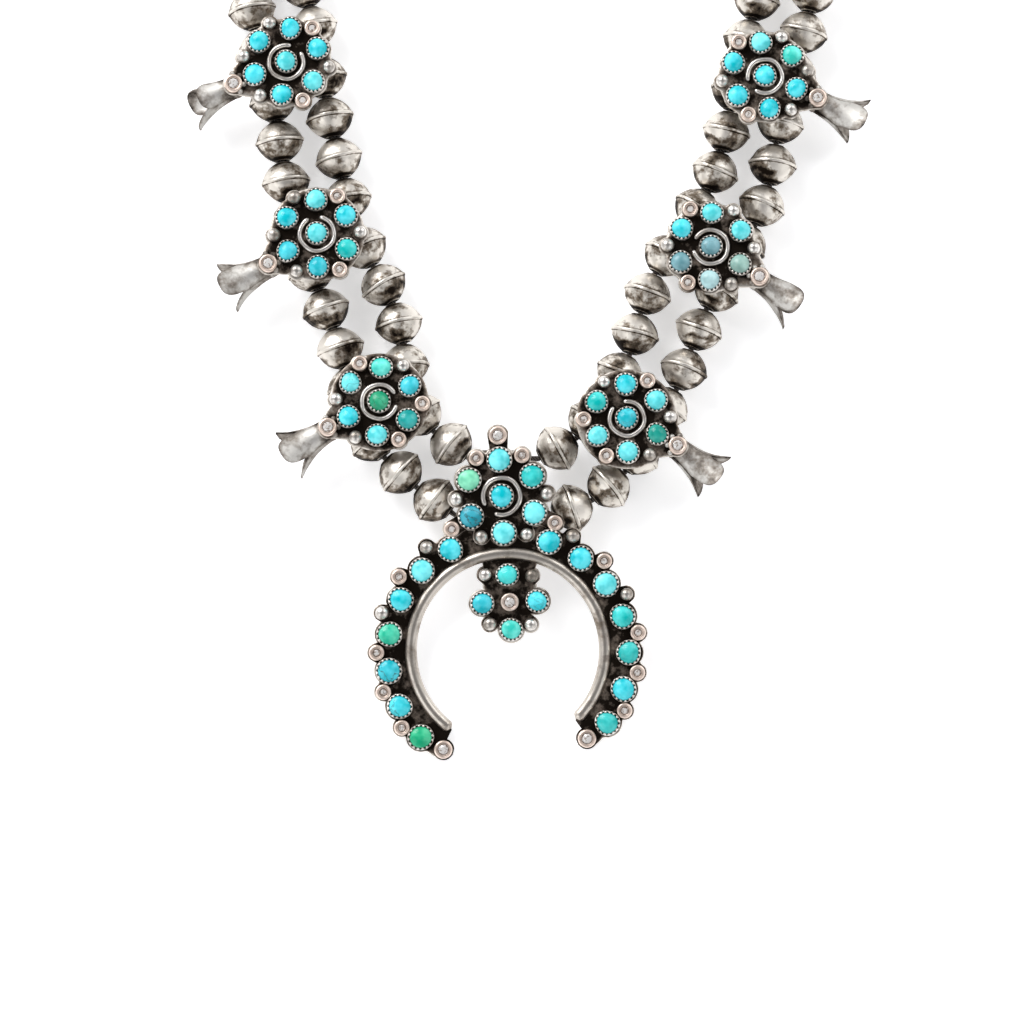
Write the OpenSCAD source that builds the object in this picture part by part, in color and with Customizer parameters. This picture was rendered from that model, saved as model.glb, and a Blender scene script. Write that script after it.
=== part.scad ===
// Squash blossom necklace, laid out on a table.
// +Z is up from the table, and +Y runs from the crescent pendant to the clasp behind the neck.
// The origin is on the table, in the middle of the necklace's outline.

/* [Bench beads] */
// Greatest diameter of a bead over its seam, where two cones are soldered base to base
bead_d = 11; // [8:0.1:11.2]
// Length of a bead along its thread
bead_len = 8.8; // [6:0.1:8.8]
// Diameter of the flat collar at each end of a bead
collar_d = 3.2; // [2.8:0.1:4]
// How far each cone bulges out from a straight one
cone_bulge = 0.7; // [0.2:0.05:0.8]
// Height of the raised seam round the middle of a bead
seam_h = 0.15; // [0.05:0.05:0.3]
// Width of that seam
seam_w = 0.7; // [0.4:0.1:1.2]
// Least gap left between two beads of a strand
bead_gap = 0.33; // [0.3:0.01:0.6]

/* [Threads] */
// Diameter of a thread
thread_d = 1.2; // [0.8:0.1:1.5]
// Clearance round a thread in each hole that it passes through
thread_gap = 0.4; // [0.2:0.05:0.6]

/* [Neck] */
// Radius of the outer strand where it goes round behind the neck
neck_r = 70; // [66:0.5:74]
// Clearance between the two strands behind the neck
strand_gap = 0.3; // [0.1:0.1:2]

/* [Clasp] */
// Length of the clasp between the two ends of a strand
clasp_len = 16; // [12:0.5:24]
// Thickness of the clasp
clasp_t = 5.4; // [4:0.2:8]
// Metal left round the outer holes of the clasp
clasp_margin = 2.4; // [1.5:0.1:4]

/* [Turquoise] */
// Diameter of a stone on the blossoms and on the drop
stone_d = 4.5; // [3.8:0.1:4.8]
// Diameter of a stone on the crown and on the crescent
naja_stone_d = 5; // [4.4:0.1:5.2]
// Height of the dome of a stone above its straight side
dome_h = 1; // [0.5:0.1:1.6]
// Height of the straight side of a stone
stone_side = 1.4; // [1:0.1:2]

/* [Settings] */
// Thickness of a bezel's wall
bezel_wall = 0.3; // [0.2:0.05:0.5]
// Height of a bezel above the plate
bezel_h = 1.6; // [1.2:0.1:2.2]
// Clearance between a stone and its setting
stone_gap = 0.12; // [0.1:0.02:0.2]
// Diameter of a small cut stone
small_cut_d = 1.7; // [1.4:0.1:2]
// Diameter of a large cut stone
large_cut_d = 2.3; // [2:0.1:2.6]
// Thickness of the wall of a cut stone's tube setting
tube_wall = 0.75; // [0.5:0.05:0.9]
// Height of a tube setting above the plate
tube_h = 1.4; // [1:0.1:2]

/* [Ornament] */
// Diameter of a soldered ball
ball_d = 3.1; // [2.4:0.1:3.4]
// Thickness of the wire ring round the middle stone
ring_wire_d = 1.1; // [0.8:0.1:1.3]
// Angle that the open wire ring covers
ring_sweep = 318; // [280:1:335]
// Thickness of a plate
plate_t = 0.9; // [0.6:0.1:1.4]
// Rim of plate left round each setting and ball
plate_rim = 0.4; // [0.2:0.05:0.7]
// Gap between the wire ring and the middle stone's bezel
ring_inner_gap = 0.6; // [0.3:0.05:0.9]
// Gap between the wire ring and the bezels round it
ring_outer_gap = 0.5; // [0.3:0.05:0.9]
// Gap between a bezel and the balls and tube settings beside it
item_gap = 0.4; // [0.2:0.05:0.7]

/* [Blossoms] */
// Clearance between the beads and the plate of a blossom above them
seat_gap = 0.3; // [0.2:0.05:0.6]
// Thickness of a lug along the thread
lug_t = 1.4; // [1:0.1:2]
// Gap between a lug and the beads beside it
lug_gap = 0.45; // [0.4:0.05:0.8]
// Width of a lug
lug_w = 4.2; // [3.6:0.1:4.6]
// Length of the trumpet of petals along its axis
petal_len = 10.8; // [8:0.1:13]
// Outer radius of the trumpet where the petals part
petal_root_r = 2.4; // [2:0.1:2.8]
// Outer radius of the trumpet at the petals' tips
petal_tip_r = 6.35; // [5:0.05:6.6]
// Thickness of a petal
petal_t = 0.7; // [0.5:0.05:1]
// Width of a petal where it leaves the stem
petal_root_w = 4.4; // [4.2:0.1:4.8]
// Width of a petal near its round tip
petal_tip_w = 5.6; // [5:0.1:6.4]
// Length of the stem behind the petals
stem_len = 2.2; // [1.5:0.1:3]
// Angle by which the trumpet droops outward
droop = 12; // [8:0.5:14]

/* [Pendant] */
// Distance on the table from the lower bail to the tips of the crescent
naja_reach = 53.5; // [50:0.5:56]
// Radius to the middle of the crescent's rim wire
rim_r = 21.3; // [19.5:0.1:22]
// Width of the half-round rim wire
rim_wire_d = 2.7; // [2:0.1:3]
// Width of the crescent's plate outside the middle of the rim wire
band_w = 7.1; // [6.5:0.1:8]
// Angle between the crescent's axis and each of its ends
crescent_half = 141; // [136:1:146]
// Angle by which the crescent leans to the left
crescent_turn = 4.4; // [0:0.1:8]
// Height of the crown's middle above the crescent's inner edge
crown_rise = 12.5; // [11.8:0.1:13.6]
// Depth of the drop's middle below that edge
drop_fall = 10.7; // [10.3:0.1:11.8]
// Distance from the drop's middle to its stones
drop_stone_r = 6; // [5.6:0.1:6.6]
// Outer diameter of a bail
bail_d = 3.8; // [3.4:0.1:4.4]
// Gap between a bail's end and the bead beside it
bail_gap = 2; // [1.5:0.1:2.5]
// Gap between the lower bail and the plate, filled by its web
bail_drop = 1.9; // [1.6:0.1:2.4]

/* [Hidden] */
$fn = 48;

// The two sides of the necklace and its two strands are numbered.
LEFT = 0;
RIGHT = 1;
INNER = 0;
OUTER = 1;

// The course of the strands as it lies on the table, from the bails of the pendant up past the blossoms.
// Columns: left inner x, y, left outer x, y, right inner x, y, right outer x, y.
route = [
    [-12.5, -91.5, -15.5, -104.0, 2.5, -91.5, 5.5, -104.0],
    [-16.5, -88.5, -20.5, -100.5, 7.0, -89.5, 11.0, -102.5],
    [-21.0, -85.0, -27.5, -95.0, 11.5, -86.5, 18.0, -98.0],
    [-24.5, -81.5, -34.5, -87.5, 15.5, -82.5, 24.5, -91.0],
    [-26.5, -76.5, -37.5, -81.5, 17.5, -78.5, 27.5, -85.5],
    [-27.5, -62.0, -40.5, -68.0, 24.5, -64.5, 35.0, -72.5],
    [-32.0, -52.5, -44.0, -59.5, 26.0, -55.0, 37.5, -63.0],
    [-38.5, -39.5, -49.5, -44.5, 34.5, -41.0, 45.0, -49.0],
    [-41.0, -26.0, -53.5, -30.5, 41.0, -31.0, 52.5, -36.0],
    [-43.5, -17.5, -54.5, -21.0, 44.0, -20.5, 54.5, -26.0],
    [-46.0, -1.0, -57.5, -6.5, 47.5, -4.0, 57.5, -11.0],
    [-48.5, 10.0, -60.5, 6.0, 50.5, 7.5, 61.5, 2.5],
    [-53.5, 30.0, -65.5, 30.0, 55.0, 30.0, 67.0, 30.0],
    [-57.0, 50.0, -68.5, 50.0, 57.5, 50.0, 69.5, 50.0],
    [-58.5, 68.0, -70.0, 68.0, 58.5, 68.0, 70.0, 68.0]];

// Where the round stretch behind the neck begins, and the angles of its points.
neck_y = 84.5;
neck_angles = [0, 25, 50, 70];

// The rows were drawn as seen from the pendant's side, which shortens them, so the course is longer by this.
course_stretch = 1.012;

// Room that a joint between two beads has beyond the least gap, so that the strand can bend.
bend_room = 0.5;

// Points that the smooth course has between two points of the route.
course_steps = 8;

// Rows of the route at which the blossoms hang.
LUG_ROWS = [10, 7, 4];

// Things that sit on a plate.
BALL = 0;
SMALL_CUT = 1;
LARGE_CUT = 2;
STONE = 3;
NAJA_STONE = 4;

// The six blossoms. Columns: side, number from the top, bearing of the stem, and how far the middle lies
// from halfway between its lugs along x and along y.
blossoms = [
    [LEFT, 1, 203, -1.4, -1.0],
    [LEFT, 2, 212, -2.2, -1.0],
    [LEFT, 3, 207, -0.4, -1.1],
    [RIGHT, 1, -23, 0.2, -0.4],
    [RIGHT, 2, -32, 0.8, -0.9],
    [RIGHT, 3, -28.5, -0.5, -1.8]];

// What fills the six gaps between the outer stones of a blossom, from beside the stem on.
upper_gaps = [BALL, BALL, SMALL_CUT, BALL, SMALL_CUT, BALL];
lowest_gaps = [BALL, SMALL_CUT, BALL, SMALL_CUT, SMALL_CUT, BALL];

// The crown's six gaps, its turn, and what lies beyond three of its stones.
crown_gaps = [SMALL_CUT, SMALL_CUT, BALL, BALL, BALL, BALL];
crown_turn = 33.5;
crown_side = -1.4;
crown_outer = [[1, LARGE_CUT], [3, SMALL_CUT], [5, SMALL_CUT]];

// Each arm of the crescent: its stones, and what lies along its outer edge.
arm_stones = 7;
arm_first = 25.2;
arm_last = 130.5;
arm_widening = 0.25;
arm_edge = [BALL, SMALL_CUT, BALL, SMALL_CUT, SMALL_CUT, SMALL_CUT];
arm_edge_shift = 0.5;
arm_tip_angle = 142.5;

// The drop: bearings of its stones, and of its balls with their distance as a share of that of the stones.
drop_side = 0.4;
drop_bearings = [95, 183, 2, -87];
drop_balls = [[132, 1.34], [50, 1.25], [228, 1.08], [-47, 1.12]];

// How far the crescent's centre lies beside the middle of the lower bail.
naja_side = 0.9;

// Angle by which the rim wire stops short of each end of the crescent.
rim_wire_set = 1;

// How deep soldered pieces reach into each other, and how far those that just touch do.
solder = 0.4;
touch = 0.1;

// Height of the trumpet's upper side above the back of its plate, and the share of a lug's width in its web.
trumpet_rise = 0.5;
lug_web = 0.9;

// Gap between the clasp and the last bead, the wall in the middle of the clasp, and how far from that
// middle each thread ends.
end_gap = 0.2;
clasp_wall = 0.8;
thread_end = 1;

// Sizes that follow from those above.
thread_z = bead_d / 2;
bore_d = thread_d + 2 * thread_gap;
strand_pitch = bead_d + strand_gap;
lug_half = lug_t / 2 + lug_gap;
plate_z = bead_d + seat_gap;
rim_wire_z = 0.6 * plate_t;
drop_neck = 0.6 * drop_stone_r;
crown_y = rim_r + crown_rise;
drop_y = rim_r - drop_fall;
bezel_r = stone_d / 2 + stone_gap + bezel_wall;
naja_bezel_r = naja_stone_d / 2 + stone_gap + bezel_wall;
small_tube_r = small_cut_d / 2 + stone_gap + tube_wall;
large_tube_r = large_cut_d / 2 + stone_gap + tube_wall;
ball_r = ball_d / 2;

// Outer radius of each thing that sits on a plate, in the order in which they are numbered.
item_radii = [ball_r, small_tube_r, large_tube_r, bezel_r, naja_bezel_r];
stone_diameters = [0, small_cut_d, large_cut_d, stone_d, naja_stone_d];

// Plain help with points

function polar(r, a) = [r * cos(a), r * sin(a)];

function bearing(p, q) = atan2(q.y - p.y, q.x - p.x);

function flat(rows) = [for (row = rows) for (value = row) value];

function backward(v) = [for (i = [len(v) - 1 : -1 : 0]) v[i]];

// The course of a strand

// The two strands lie side by side behind the neck.
function neck_radius(strand) = strand == OUTER ? neck_r : neck_r - strand_pitch;

function clasp_y(strand) = neck_y + sqrt(pow(neck_radius(strand), 2) - pow(clasp_len / 2, 2));

function side_sign(side) = side == LEFT ? -1 : 1;

// Half of the round stretch of a strand, up to the clasp.
function neck_points(side, strand) = let (r = neck_radius(strand)) concat(
    [for (a = neck_angles) [side_sign(side) * r * cos(a), neck_y + r * sin(a)]],
    [[side_sign(side) * clasp_len / 2, clasp_y(strand)]]);

// A row's place along Y, stretched away from the lower bail.
function laid(y) = route[0][3] + (y - route[0][3]) * course_stretch;

// Every chosen point of a strand on one side, from its bail to the clasp.
function strand_points(side, strand) = concat(
    [for (row = route) [row[4 * side + 2 * strand], laid(row[4 * side + 2 * strand + 1])]],
    neck_points(side, strand));

// A smooth curve through four points, at a share t of the way from the second to the third.
function smooth(a, b, c, d, t) =
    (2 * b + (c - a) * t + (2 * a - 5 * b + 4 * c - d) * t * t + (3 * b - 3 * c + d - a) * t * t * t) / 2;

function course(p) = concat(
    [for (i = [0 : len(p) - 2]) for (j = [0 : course_steps - 1])
        smooth(p[max(i - 1, 0)], p[i], p[i + 1], p[min(i + 2, len(p) - 1)], j / course_steps)],
    [p[len(p) - 1]]);

// Length along a course up to each of its points.
function lengths(c) = [for (i = 0, s = 0; i < len(c);
    s = s + (i + 1 < len(c) ? norm(c[i + 1] - c[i]) : 0), i = i + 1) s];

// Pairs of length and coordinate, to look a point up by its length.
function by_length(c, axis) = let (s = lengths(c)) [for (i = [0 : len(c) - 1]) [s[i], c[i][axis]]];

courses = [for (side = [LEFT, RIGHT]) [for (strand = [INNER, OUTER]) course(strand_points(side, strand))]];
course_lengths = [for (pair = courses) [for (c = pair) lengths(c)]];
course_x = [for (pair = courses) [for (c = pair) by_length(c, 0)]];
course_y = [for (pair = courses) [for (c = pair) by_length(c, 1)]];

// The point of a strand at a length from its bail.
function along(side, strand, s) = [lookup(s, course_x[side][strand]), lookup(s, course_y[side][strand])];

function row_length(side, strand, row) = course_lengths[side][strand][row * course_steps];

// The ends of each run of beads: from the bail to the lowest blossom, between blossoms, and to the clasp.
function run_ends(side, strand) = let (
    stops = [for (row = backward(LUG_ROWS)) row_length(side, strand, row)],
    last = course_lengths[side][strand][len(course_lengths[side][strand]) - 1])
    [for (i = [0 : len(stops)])
        [i == 0 ? 0 : stops[i - 1] + lug_half, i == len(stops) ? last - end_gap : stops[i] - lug_half]];

// Beads lie close together in the middle of a run, and the joints between them lie on the course.
function run_joints(side, strand, ends) = let (run = ends[1] - ends[0],
    count = floor(run / (bead_len + bead_gap)),
    pitch = min(run / count, bead_len + bead_gap + bend_room),
    spare = (run - count * pitch) / 2)
    [for (k = [0 : count]) along(side, strand, ends[0] + spare + pitch * k)];

function joints(side, strand) = [for (ends = run_ends(side, strand)) run_joints(side, strand, ends)];

// The points of a thread along a run: its joints, and the run's ends where they lie apart from them.
function thread_run(side, strand, ends) = let (run = run_joints(side, strand, ends),
    first = along(side, strand, ends[0]), last = along(side, strand, ends[1]))
    concat(
        norm(first - run[0]) > touch ? [first] : [],
        run,
        norm(last - run[len(run) - 1]) > touch ? [last] : []);

function thread_half(side, strand) =
    flat([for (ends = run_ends(side, strand)) thread_run(side, strand, ends)]);

// The two points at which a thread passes the faces of a lug.
function lug_ends(side, number, strand) = let (s = row_length(side, strand, LUG_ROWS[number - 1]))
    [along(side, strand, s - lug_half), along(side, strand, s + lug_half)];

// Everything that a thread runs through, from one half of the clasp round to the other.
function thread_points(strand) = concat(
    [[-thread_end, clasp_y(strand)], [-clasp_len / 2, clasp_y(strand)]],
    backward(thread_half(LEFT, strand)),
    thread_half(RIGHT, strand),
    [[clasp_len / 2, clasp_y(strand)], [thread_end, clasp_y(strand)]]);

// Things on a plate, each as x, y and kind

function item(kind, r, a) = [r * cos(a), r * sin(a), kind];

function moved(items, by) = [for (i = items) [i.x + by.x, i.y + by.y, i.z]];

function of_kinds(items, kinds) = [for (i = items) if (len(search(i.z, kinds)) > 0) i];

// Radius of the wire ring's middle, and of the six stones round it.
function ring_radius(bezel) = bezel + ring_inner_gap + ring_wire_d / 2;

function stones_radius(bezel) = ring_radius(bezel) + ring_wire_d / 2 + ring_outer_gap + bezel;

// A ball or tube setting lies against the two stones on either side of it.
function gap_radius(bezel) = stones_radius(bezel) * cos(30)
    + sqrt(max(0, pow(bezel + small_tube_r + item_gap, 2) - pow(stones_radius(bezel) * sin(30), 2)));

function beyond_radius(bezel, kind) = stones_radius(bezel) + bezel + item_gap + item_radii[kind];

// A middle stone, six round it and what fills the six gaps.
function rosette(stone, turn, gaps) = concat(
    [item(stone, 0, 0)],
    [for (k = [0 : 5]) item(stone, stones_radius(item_radii[stone]), turn + 60 * k)],
    [for (k = [0 : 5]) item(gaps[k], gap_radius(item_radii[stone]), turn + 30 + 60 * k)]);

function blossom_items(b) = concat(
    rosette(STONE, 0, b[1] == 3 ? lowest_gaps : upper_gaps),
    [item(LARGE_CUT, beyond_radius(bezel_r, LARGE_CUT), 0)]);

crown_items = moved(
    concat(
        rosette(NAJA_STONE, crown_turn, crown_gaps),
        [for (o = crown_outer) item(o[1], beyond_radius(naja_bezel_r, o[1]), crown_turn + 60 * o[0])]),
    [crown_side, crown_y]);

arm_pitch = (arm_last - arm_first) / (arm_stones - 1);
arm_stone_r = rim_r + rim_wire_d / 2 + naja_bezel_r - touch;
arm_edge_r = rim_r + band_w + solder;
arm_tip_r = arm_stone_r + arm_widening * 2;

// Bearing of a place on an arm, counted in stones from the first one. The left arm has s = 1.
function arm_bearing(s, i) = 90 + crescent_turn + s * (arm_first + arm_pitch * i);

function arm_items(s) = concat(
    [for (i = [0 : arm_stones - 1]) item(NAJA_STONE, arm_stone_r + arm_widening * i, arm_bearing(s, i))],
    [for (i = [0 : len(arm_edge) - 1]) item(arm_edge[i], arm_edge_r, arm_bearing(s, i + arm_edge_shift))],
    [item(LARGE_CUT, arm_tip_r, 90 + crescent_turn + s * arm_tip_angle)]);

crescent_items = concat(arm_items(1), arm_items(-1));

drop_items = moved(
    concat(
        [item(LARGE_CUT, 0, 0)],
        [for (a = drop_bearings) item(STONE, drop_stone_r, a)],
        [for (b = drop_balls) item(BALL, drop_stone_r * b[1], b[0])]),
    [drop_side, drop_y]);

naja_items = concat(crown_items, crescent_items, drop_items);

// The pendant leans on its lower bail. Its crescent's tips touch the table.
bail_y = route[0][3];
bail_depth = bail_d / 2 + bail_drop;
naja_tilt = asin(bail_depth / norm([naja_reach, thread_z])) + atan2(thread_z, naja_reach);
naja_foot = plate_rim - min([for (i = crescent_items) i.y - item_radii[i.z]]);
naja_x = (route[0][2] + route[0][6]) / 2 + naja_side;

// Parts of a plate

// Outline of plate under each thing that sits on it
module lobes(items)
    for (i = items)
        translate([i.x, i.y])
            circle(r = item_radii[i.z] + plate_rim);

// Walls that stand round the stones of some kinds
module walls(items, kinds, wall, height)
    translate([0, 0, plate_t - solder / 2])
        linear_extrude(height + solder / 2)
            for (i = of_kinds(items, kinds))
                translate([i.x, i.y])
                    difference() {
                        circle(r = item_radii[i.z]);
                        circle(r = item_radii[i.z] - wall);
                    }

module balls(items)
    for (i = of_kinds(items, [BALL]))
        translate([i.x, i.y, plate_t + ball_r / 2])
            sphere(r = ball_r);

module fittings(items) {
    walls(items, [STONE, NAJA_STONE], bezel_wall, bezel_h);
    walls(items, [SMALL_CUT, LARGE_CUT], tube_wall, tube_h);
    balls(items);
}

// Open wire ring round a middle stone, with its gap at the far end from the start angle
module wire_ring(bezel, start)
    translate([0, 0, plate_t + ring_wire_d / 4])
        rotate([0, 0, start])
            rotate_extrude(angle = ring_sweep)
                translate([ring_radius(bezel), 0])
                    circle(d = ring_wire_d);

// A polished cabochon: a straight side and a dome
module cabochon(d) {
    dome_r = (d * d / 4 + dome_h * dome_h) / (2 * dome_h);
    rotate_extrude()
        intersection() {
            translate([0, stone_side + dome_h - dome_r])
                circle(r = dome_r);
            square([d / 2, stone_side + dome_h]);
        }
}

module cabochons(items)
    color("turquoise")
        for (i = of_kinds(items, [STONE, NAJA_STONE]))
            translate([i.x, i.y, plate_t + stone_gap])
                cabochon(stone_diameters[i.z]);

// A brilliant with a table, sixteen facets on the crown, a girdle and eight facets below
module cut_stone(d) {
    table_r = 0.29 * d;
    crown_h = 0.17 * d;
    girdle_h = 0.06 * d;
    depth = 0.4 * d;
    ring = [for (k = [0 : 7]) 45 * k];
    points = concat(
        [for (a = ring) [table_r * cos(a), table_r * sin(a), depth + girdle_h + crown_h]],
        [for (a = ring) [d / 2 * cos(a + 22.5), d / 2 * sin(a + 22.5), depth + girdle_h]],
        [for (a = ring) [d / 2 * cos(a + 22.5), d / 2 * sin(a + 22.5), depth]],
        [[0, 0, 0]]);
    faces = concat(
        [[7, 6, 5, 4, 3, 2, 1, 0]],
        [for (k = [0 : 7]) [k, (k + 1) % 8, 8 + k]],
        [for (k = [0 : 7]) [(k + 1) % 8, 8 + (k + 1) % 8, 8 + k]],
        [for (k = [0 : 7]) [8 + k, 8 + (k + 1) % 8, 16 + (k + 1) % 8, 16 + k]],
        [for (k = [0 : 7]) [16 + k, 16 + (k + 1) % 8, 24]]);
    polyhedron(points = points, faces = faces);
}

module cut_stones(items)
    color("white")
        for (i = of_kinds(items, [SMALL_CUT, LARGE_CUT]))
            translate([i.x, i.y, plate_t + stone_gap])
                cut_stone(stone_diameters[i.z]);

// Blossoms

function blossom_middle(b) = let (
    p = lug_ends(b[0], b[1], INNER),
    q = lug_ends(b[0], b[1], OUTER))
    (p[0] + p[1] + q[0] + q[1]) / 4 + [b[3], b[4]];

// The left blossoms are mirror images of the right ones.
module at_blossom(b)
    translate([blossom_middle(b).x, blossom_middle(b).y, plate_z])
        rotate([0, 0, b[2]])
            mirror([0, b[0] == LEFT ? 1 : 0, 0])
                children();

// Section through the wall of the trumpet: radius across, length along the axis
module trumpet_section() {
    flare = petal_tip_r - petal_root_r;
    arc_r = (petal_len * petal_len + flare * flare) / (2 * flare);
    intersection() {
        translate([petal_root_r + arc_r, 0])
            difference() {
                circle(r = arc_r + petal_t);
                circle(r = arc_r);
            }
        square([petal_root_r + arc_r, petal_len]);
    }
}

// Front view of one petal, with its length along X and a round tip
module petal_outline() {
    tip_r = petal_tip_w / 2 + touch;
    polygon([[-solder, -petal_root_w / 2], [petal_len - tip_r, -petal_tip_w / 2],
        [petal_len - tip_r, petal_tip_w / 2], [-solder, petal_root_w / 2]]);
    translate([petal_len - tip_r, 0])
        circle(r = tip_r);
}

// Three petals that part from one flared tube along X
module petals()
    intersection() {
        rotate([0, 90, 0])
            rotate_extrude()
                trumpet_section();
        union()
            for (turn = [0, 120, 240])
                rotate([turn, 0, 0])
                    linear_extrude(petal_tip_r + 2)
                        petal_outline();
    }

module stem()
    translate([-stem_len, 0, 0])
        rotate([0, 90, 0])
            cylinder(r = petal_root_r + touch, h = stem_len + solder);

module trumpet()
    translate([beyond_radius(bezel_r, LARGE_CUT), 0, trumpet_rise - petal_root_r])
        rotate([0, droop, 0]) {
            petals();
            stem();
        }

// Flat lug that hangs from the plate round a thread
module lug(b, strand) {
    ends = lug_ends(b[0], b[1], strand);
    middle = (ends[0] + ends[1]) / 2;
    translate([middle.x, middle.y, thread_z])
        rotate([0, 0, bearing(ends[0], ends[1])])
            difference() {
                union() {
                    rotate([0, 90, 0])
                        cylinder(d = lug_w, h = lug_t, center = true);
                    translate([-lug_t / 2, -lug_web * lug_w / 2, 0])
                        cube([lug_t, lug_web * lug_w, plate_z - thread_z + solder]);
                }
                rotate([0, 90, 0])
                    cylinder(d = bore_d, h = 2 * lug_t, center = true);
            }
}

module blossom_plate(items) {
    linear_extrude(plate_t)
        union() {
            circle(r = stones_radius(bezel_r) + bezel_r / 2);
            lobes(items);
            translate([stones_radius(bezel_r), -large_tube_r])
                square([bezel_r + item_gap + large_tube_r, 2 * large_tube_r]);
        }
}

module blossom(b)
    color("silver") {
        at_blossom(b) {
            blossom_plate(blossom_items(b));
            fittings(blossom_items(b));
            wire_ring(bezel_r, 200);
            trumpet();
        }
        lug(b, INNER);
        lug(b, OUTER);
    }

module blossom_turquoise(b)
    at_blossom(b)
        cabochons(blossom_items(b));

module blossom_diamonds(b)
    at_blossom(b)
        cut_stones(blossom_items(b));

// Pendant

// Leans the pendant back on its bails, with the middle of its crescent at the origin of its children
module on_naja()
    translate([naja_x, bail_y - naja_reach, 0])
        rotate([naja_tilt, 0, 0])
            translate([0, naja_foot, 0])
                children();

module crescent_outline() {
    beyond = 3 * rim_r;
    difference() {
        circle(r = rim_r + band_w);
        circle(r = rim_r);
        rotate([0, 0, 90 + crescent_turn])
            polygon([[0, 0], polar(beyond, crescent_half), [-beyond, 0], polar(beyond, -crescent_half)]);
    }
}

module naja_outline() {
    crescent_outline();
    translate([crown_side, crown_y])
        circle(r = stones_radius(naja_bezel_r) + naja_bezel_r / 2);
    translate([drop_side, drop_y])
        circle(r = drop_stone_r);
    translate([drop_side - drop_stone_r, drop_y + drop_neck])
        square([2 * drop_stone_r, rim_r - drop_y - drop_neck / 2]);
    lobes(naja_items);
}

// Half-round wire along the inner edge of the crescent, a little short of its ends
module rim_wire()
    rotate([0, 0, 90 + crescent_turn - crescent_half + rim_wire_set])
        rotate_extrude(angle = 2 * (crescent_half - rim_wire_set))
            translate([rim_r, 0])
                intersection() {
                    translate([0, rim_wire_z])
                        circle(d = rim_wire_d);
                    translate([-rim_wire_d, 0])
                        square([2 * rim_wire_d, plate_t + rim_wire_d]);
                }

// Drilled tube behind the crown that a thread passes through, and the web that joins it to the plate
module bail(strand) {
    left = route[0][2 * strand];
    right = route[0][4 + 2 * strand];
    back = route[0][2 * strand + 1] - (bail_y - naja_reach);
    depth = back * sin(naja_tilt) - thread_z * cos(naja_tilt);
    rise = back * cos(naja_tilt) + thread_z * sin(naja_tilt) - naja_foot;
    translate([(left + right) / 2 - naja_x, rise, -depth])
        difference() {
            union() {
                rotate([0, 90, 0])
                    cylinder(d = bail_d, h = right - left - 2 * bail_gap, center = true);
                translate([-(right - left) / 2 + bail_d, -bail_d / 4, 0])
                    cube([right - left - 2 * bail_d, bail_d / 2, depth + solder]);
            }
            rotate([0, 90, 0])
                cylinder(d = bore_d, h = right - left, center = true);
        }
}

module naja()
    color("silver")
        on_naja() {
            linear_extrude(plate_t)
                union()
                    naja_outline();
            fittings(naja_items);
            rim_wire();
            translate([crown_side, crown_y, 0])
                wire_ring(naja_bezel_r, 250);
            bail(INNER);
            bail(OUTER);
        }

// Strands

// Section through a bead from its bore outward, with its length along Y
module bead_section() {
    cone_d = bead_d - 2 * seam_h;
    reach = norm([cone_d / 2 - collar_d / 2, bead_len / 2]);
    arc_r = (reach * reach / 4 + cone_bulge * cone_bulge) / (2 * cone_bulge);
    inward = (arc_r - cone_bulge) / reach;
    middle = [(cone_d + collar_d) / 4 - inward * bead_len / 2,
        bead_len / 4 - inward * (cone_d - collar_d) / 2];
    union() {
        intersection() {
            translate(middle)
                circle(r = arc_r);
            translate([middle.x, -middle.y])
                circle(r = arc_r);
            translate([bore_d / 2, -bead_len / 2])
                square([bead_d, bead_len]);
        }
        translate([bead_d / 2 - 3 * seam_h, -seam_w / 2])
            square([3 * seam_h, seam_w]);
    }
}

module bead()
    rotate([0, 90, 0])
        rotate_extrude()
            bead_section();

// The beads of one side of a strand, each on the straight line between two joints
module beads(side, strand)
    color("silver")
        for (run = joints(side, strand))
            for (k = [0 : len(run) - 2])
                translate([(run[k].x + run[k + 1].x) / 2, (run[k].y + run[k + 1].y) / 2, thread_z])
                    rotate([0, 0, bearing(run[k], run[k + 1])])
                        bead();

// Six-sided thread swept through the joints of its strand
module thread(strand) {
    sides = 6;
    path = thread_points(strand);
    last = len(path) - 1;
    points = [for (i = [0 : last]) let (way = bearing(path[max(i - 1, 0)], path[min(i + 1, last)]))
        for (k = [0 : sides - 1]) let (across = thread_d / 2 * cos(360 * k / sides))
            [path[i].x - sin(way) * across, path[i].y + cos(way) * across,
                thread_z + thread_d / 2 * sin(360 * k / sides)]];
    skin = [for (i = [0 : last - 1]) for (k = [0 : sides - 1]) let (n = (k + 1) % sides)
        [i * sides + k, i * sides + n, (i + 1) * sides + n, (i + 1) * sides + k]];
    start = [for (k = [sides - 1 : -1 : 0]) k];
    end = [for (k = [0 : sides - 1]) last * sides + k];
    color("saddlebrown")
        polyhedron(points = points, faces = concat([start, end], skin));
}

// Plain plate with clipped corners and a blind hole for each end of each strand
module clasp() {
    bottom = clasp_y(INNER) - bore_d / 2 - clasp_margin;
    top = clasp_y(OUTER) + bore_d / 2 + clasp_margin;
    side = clasp_len / 2;
    corner = clasp_margin;
    color("silver")
        difference() {
            translate([0, 0, thread_z - clasp_t / 2])
                linear_extrude(clasp_t)
                    polygon([[-side, bottom + corner], [corner - side, bottom], [side - corner, bottom],
                        [side, bottom + corner], [side, top - corner], [side - corner, top],
                        [corner - side, top], [-side, top - corner]]);
            for (strand = [INNER, OUTER])
                for (way = [-1, 1])
                    translate([way * clasp_wall / 2, clasp_y(strand), thread_z])
                        rotate([0, way * 90, 0])
                            cylinder(d = bore_d, h = side);
        }
}

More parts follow.
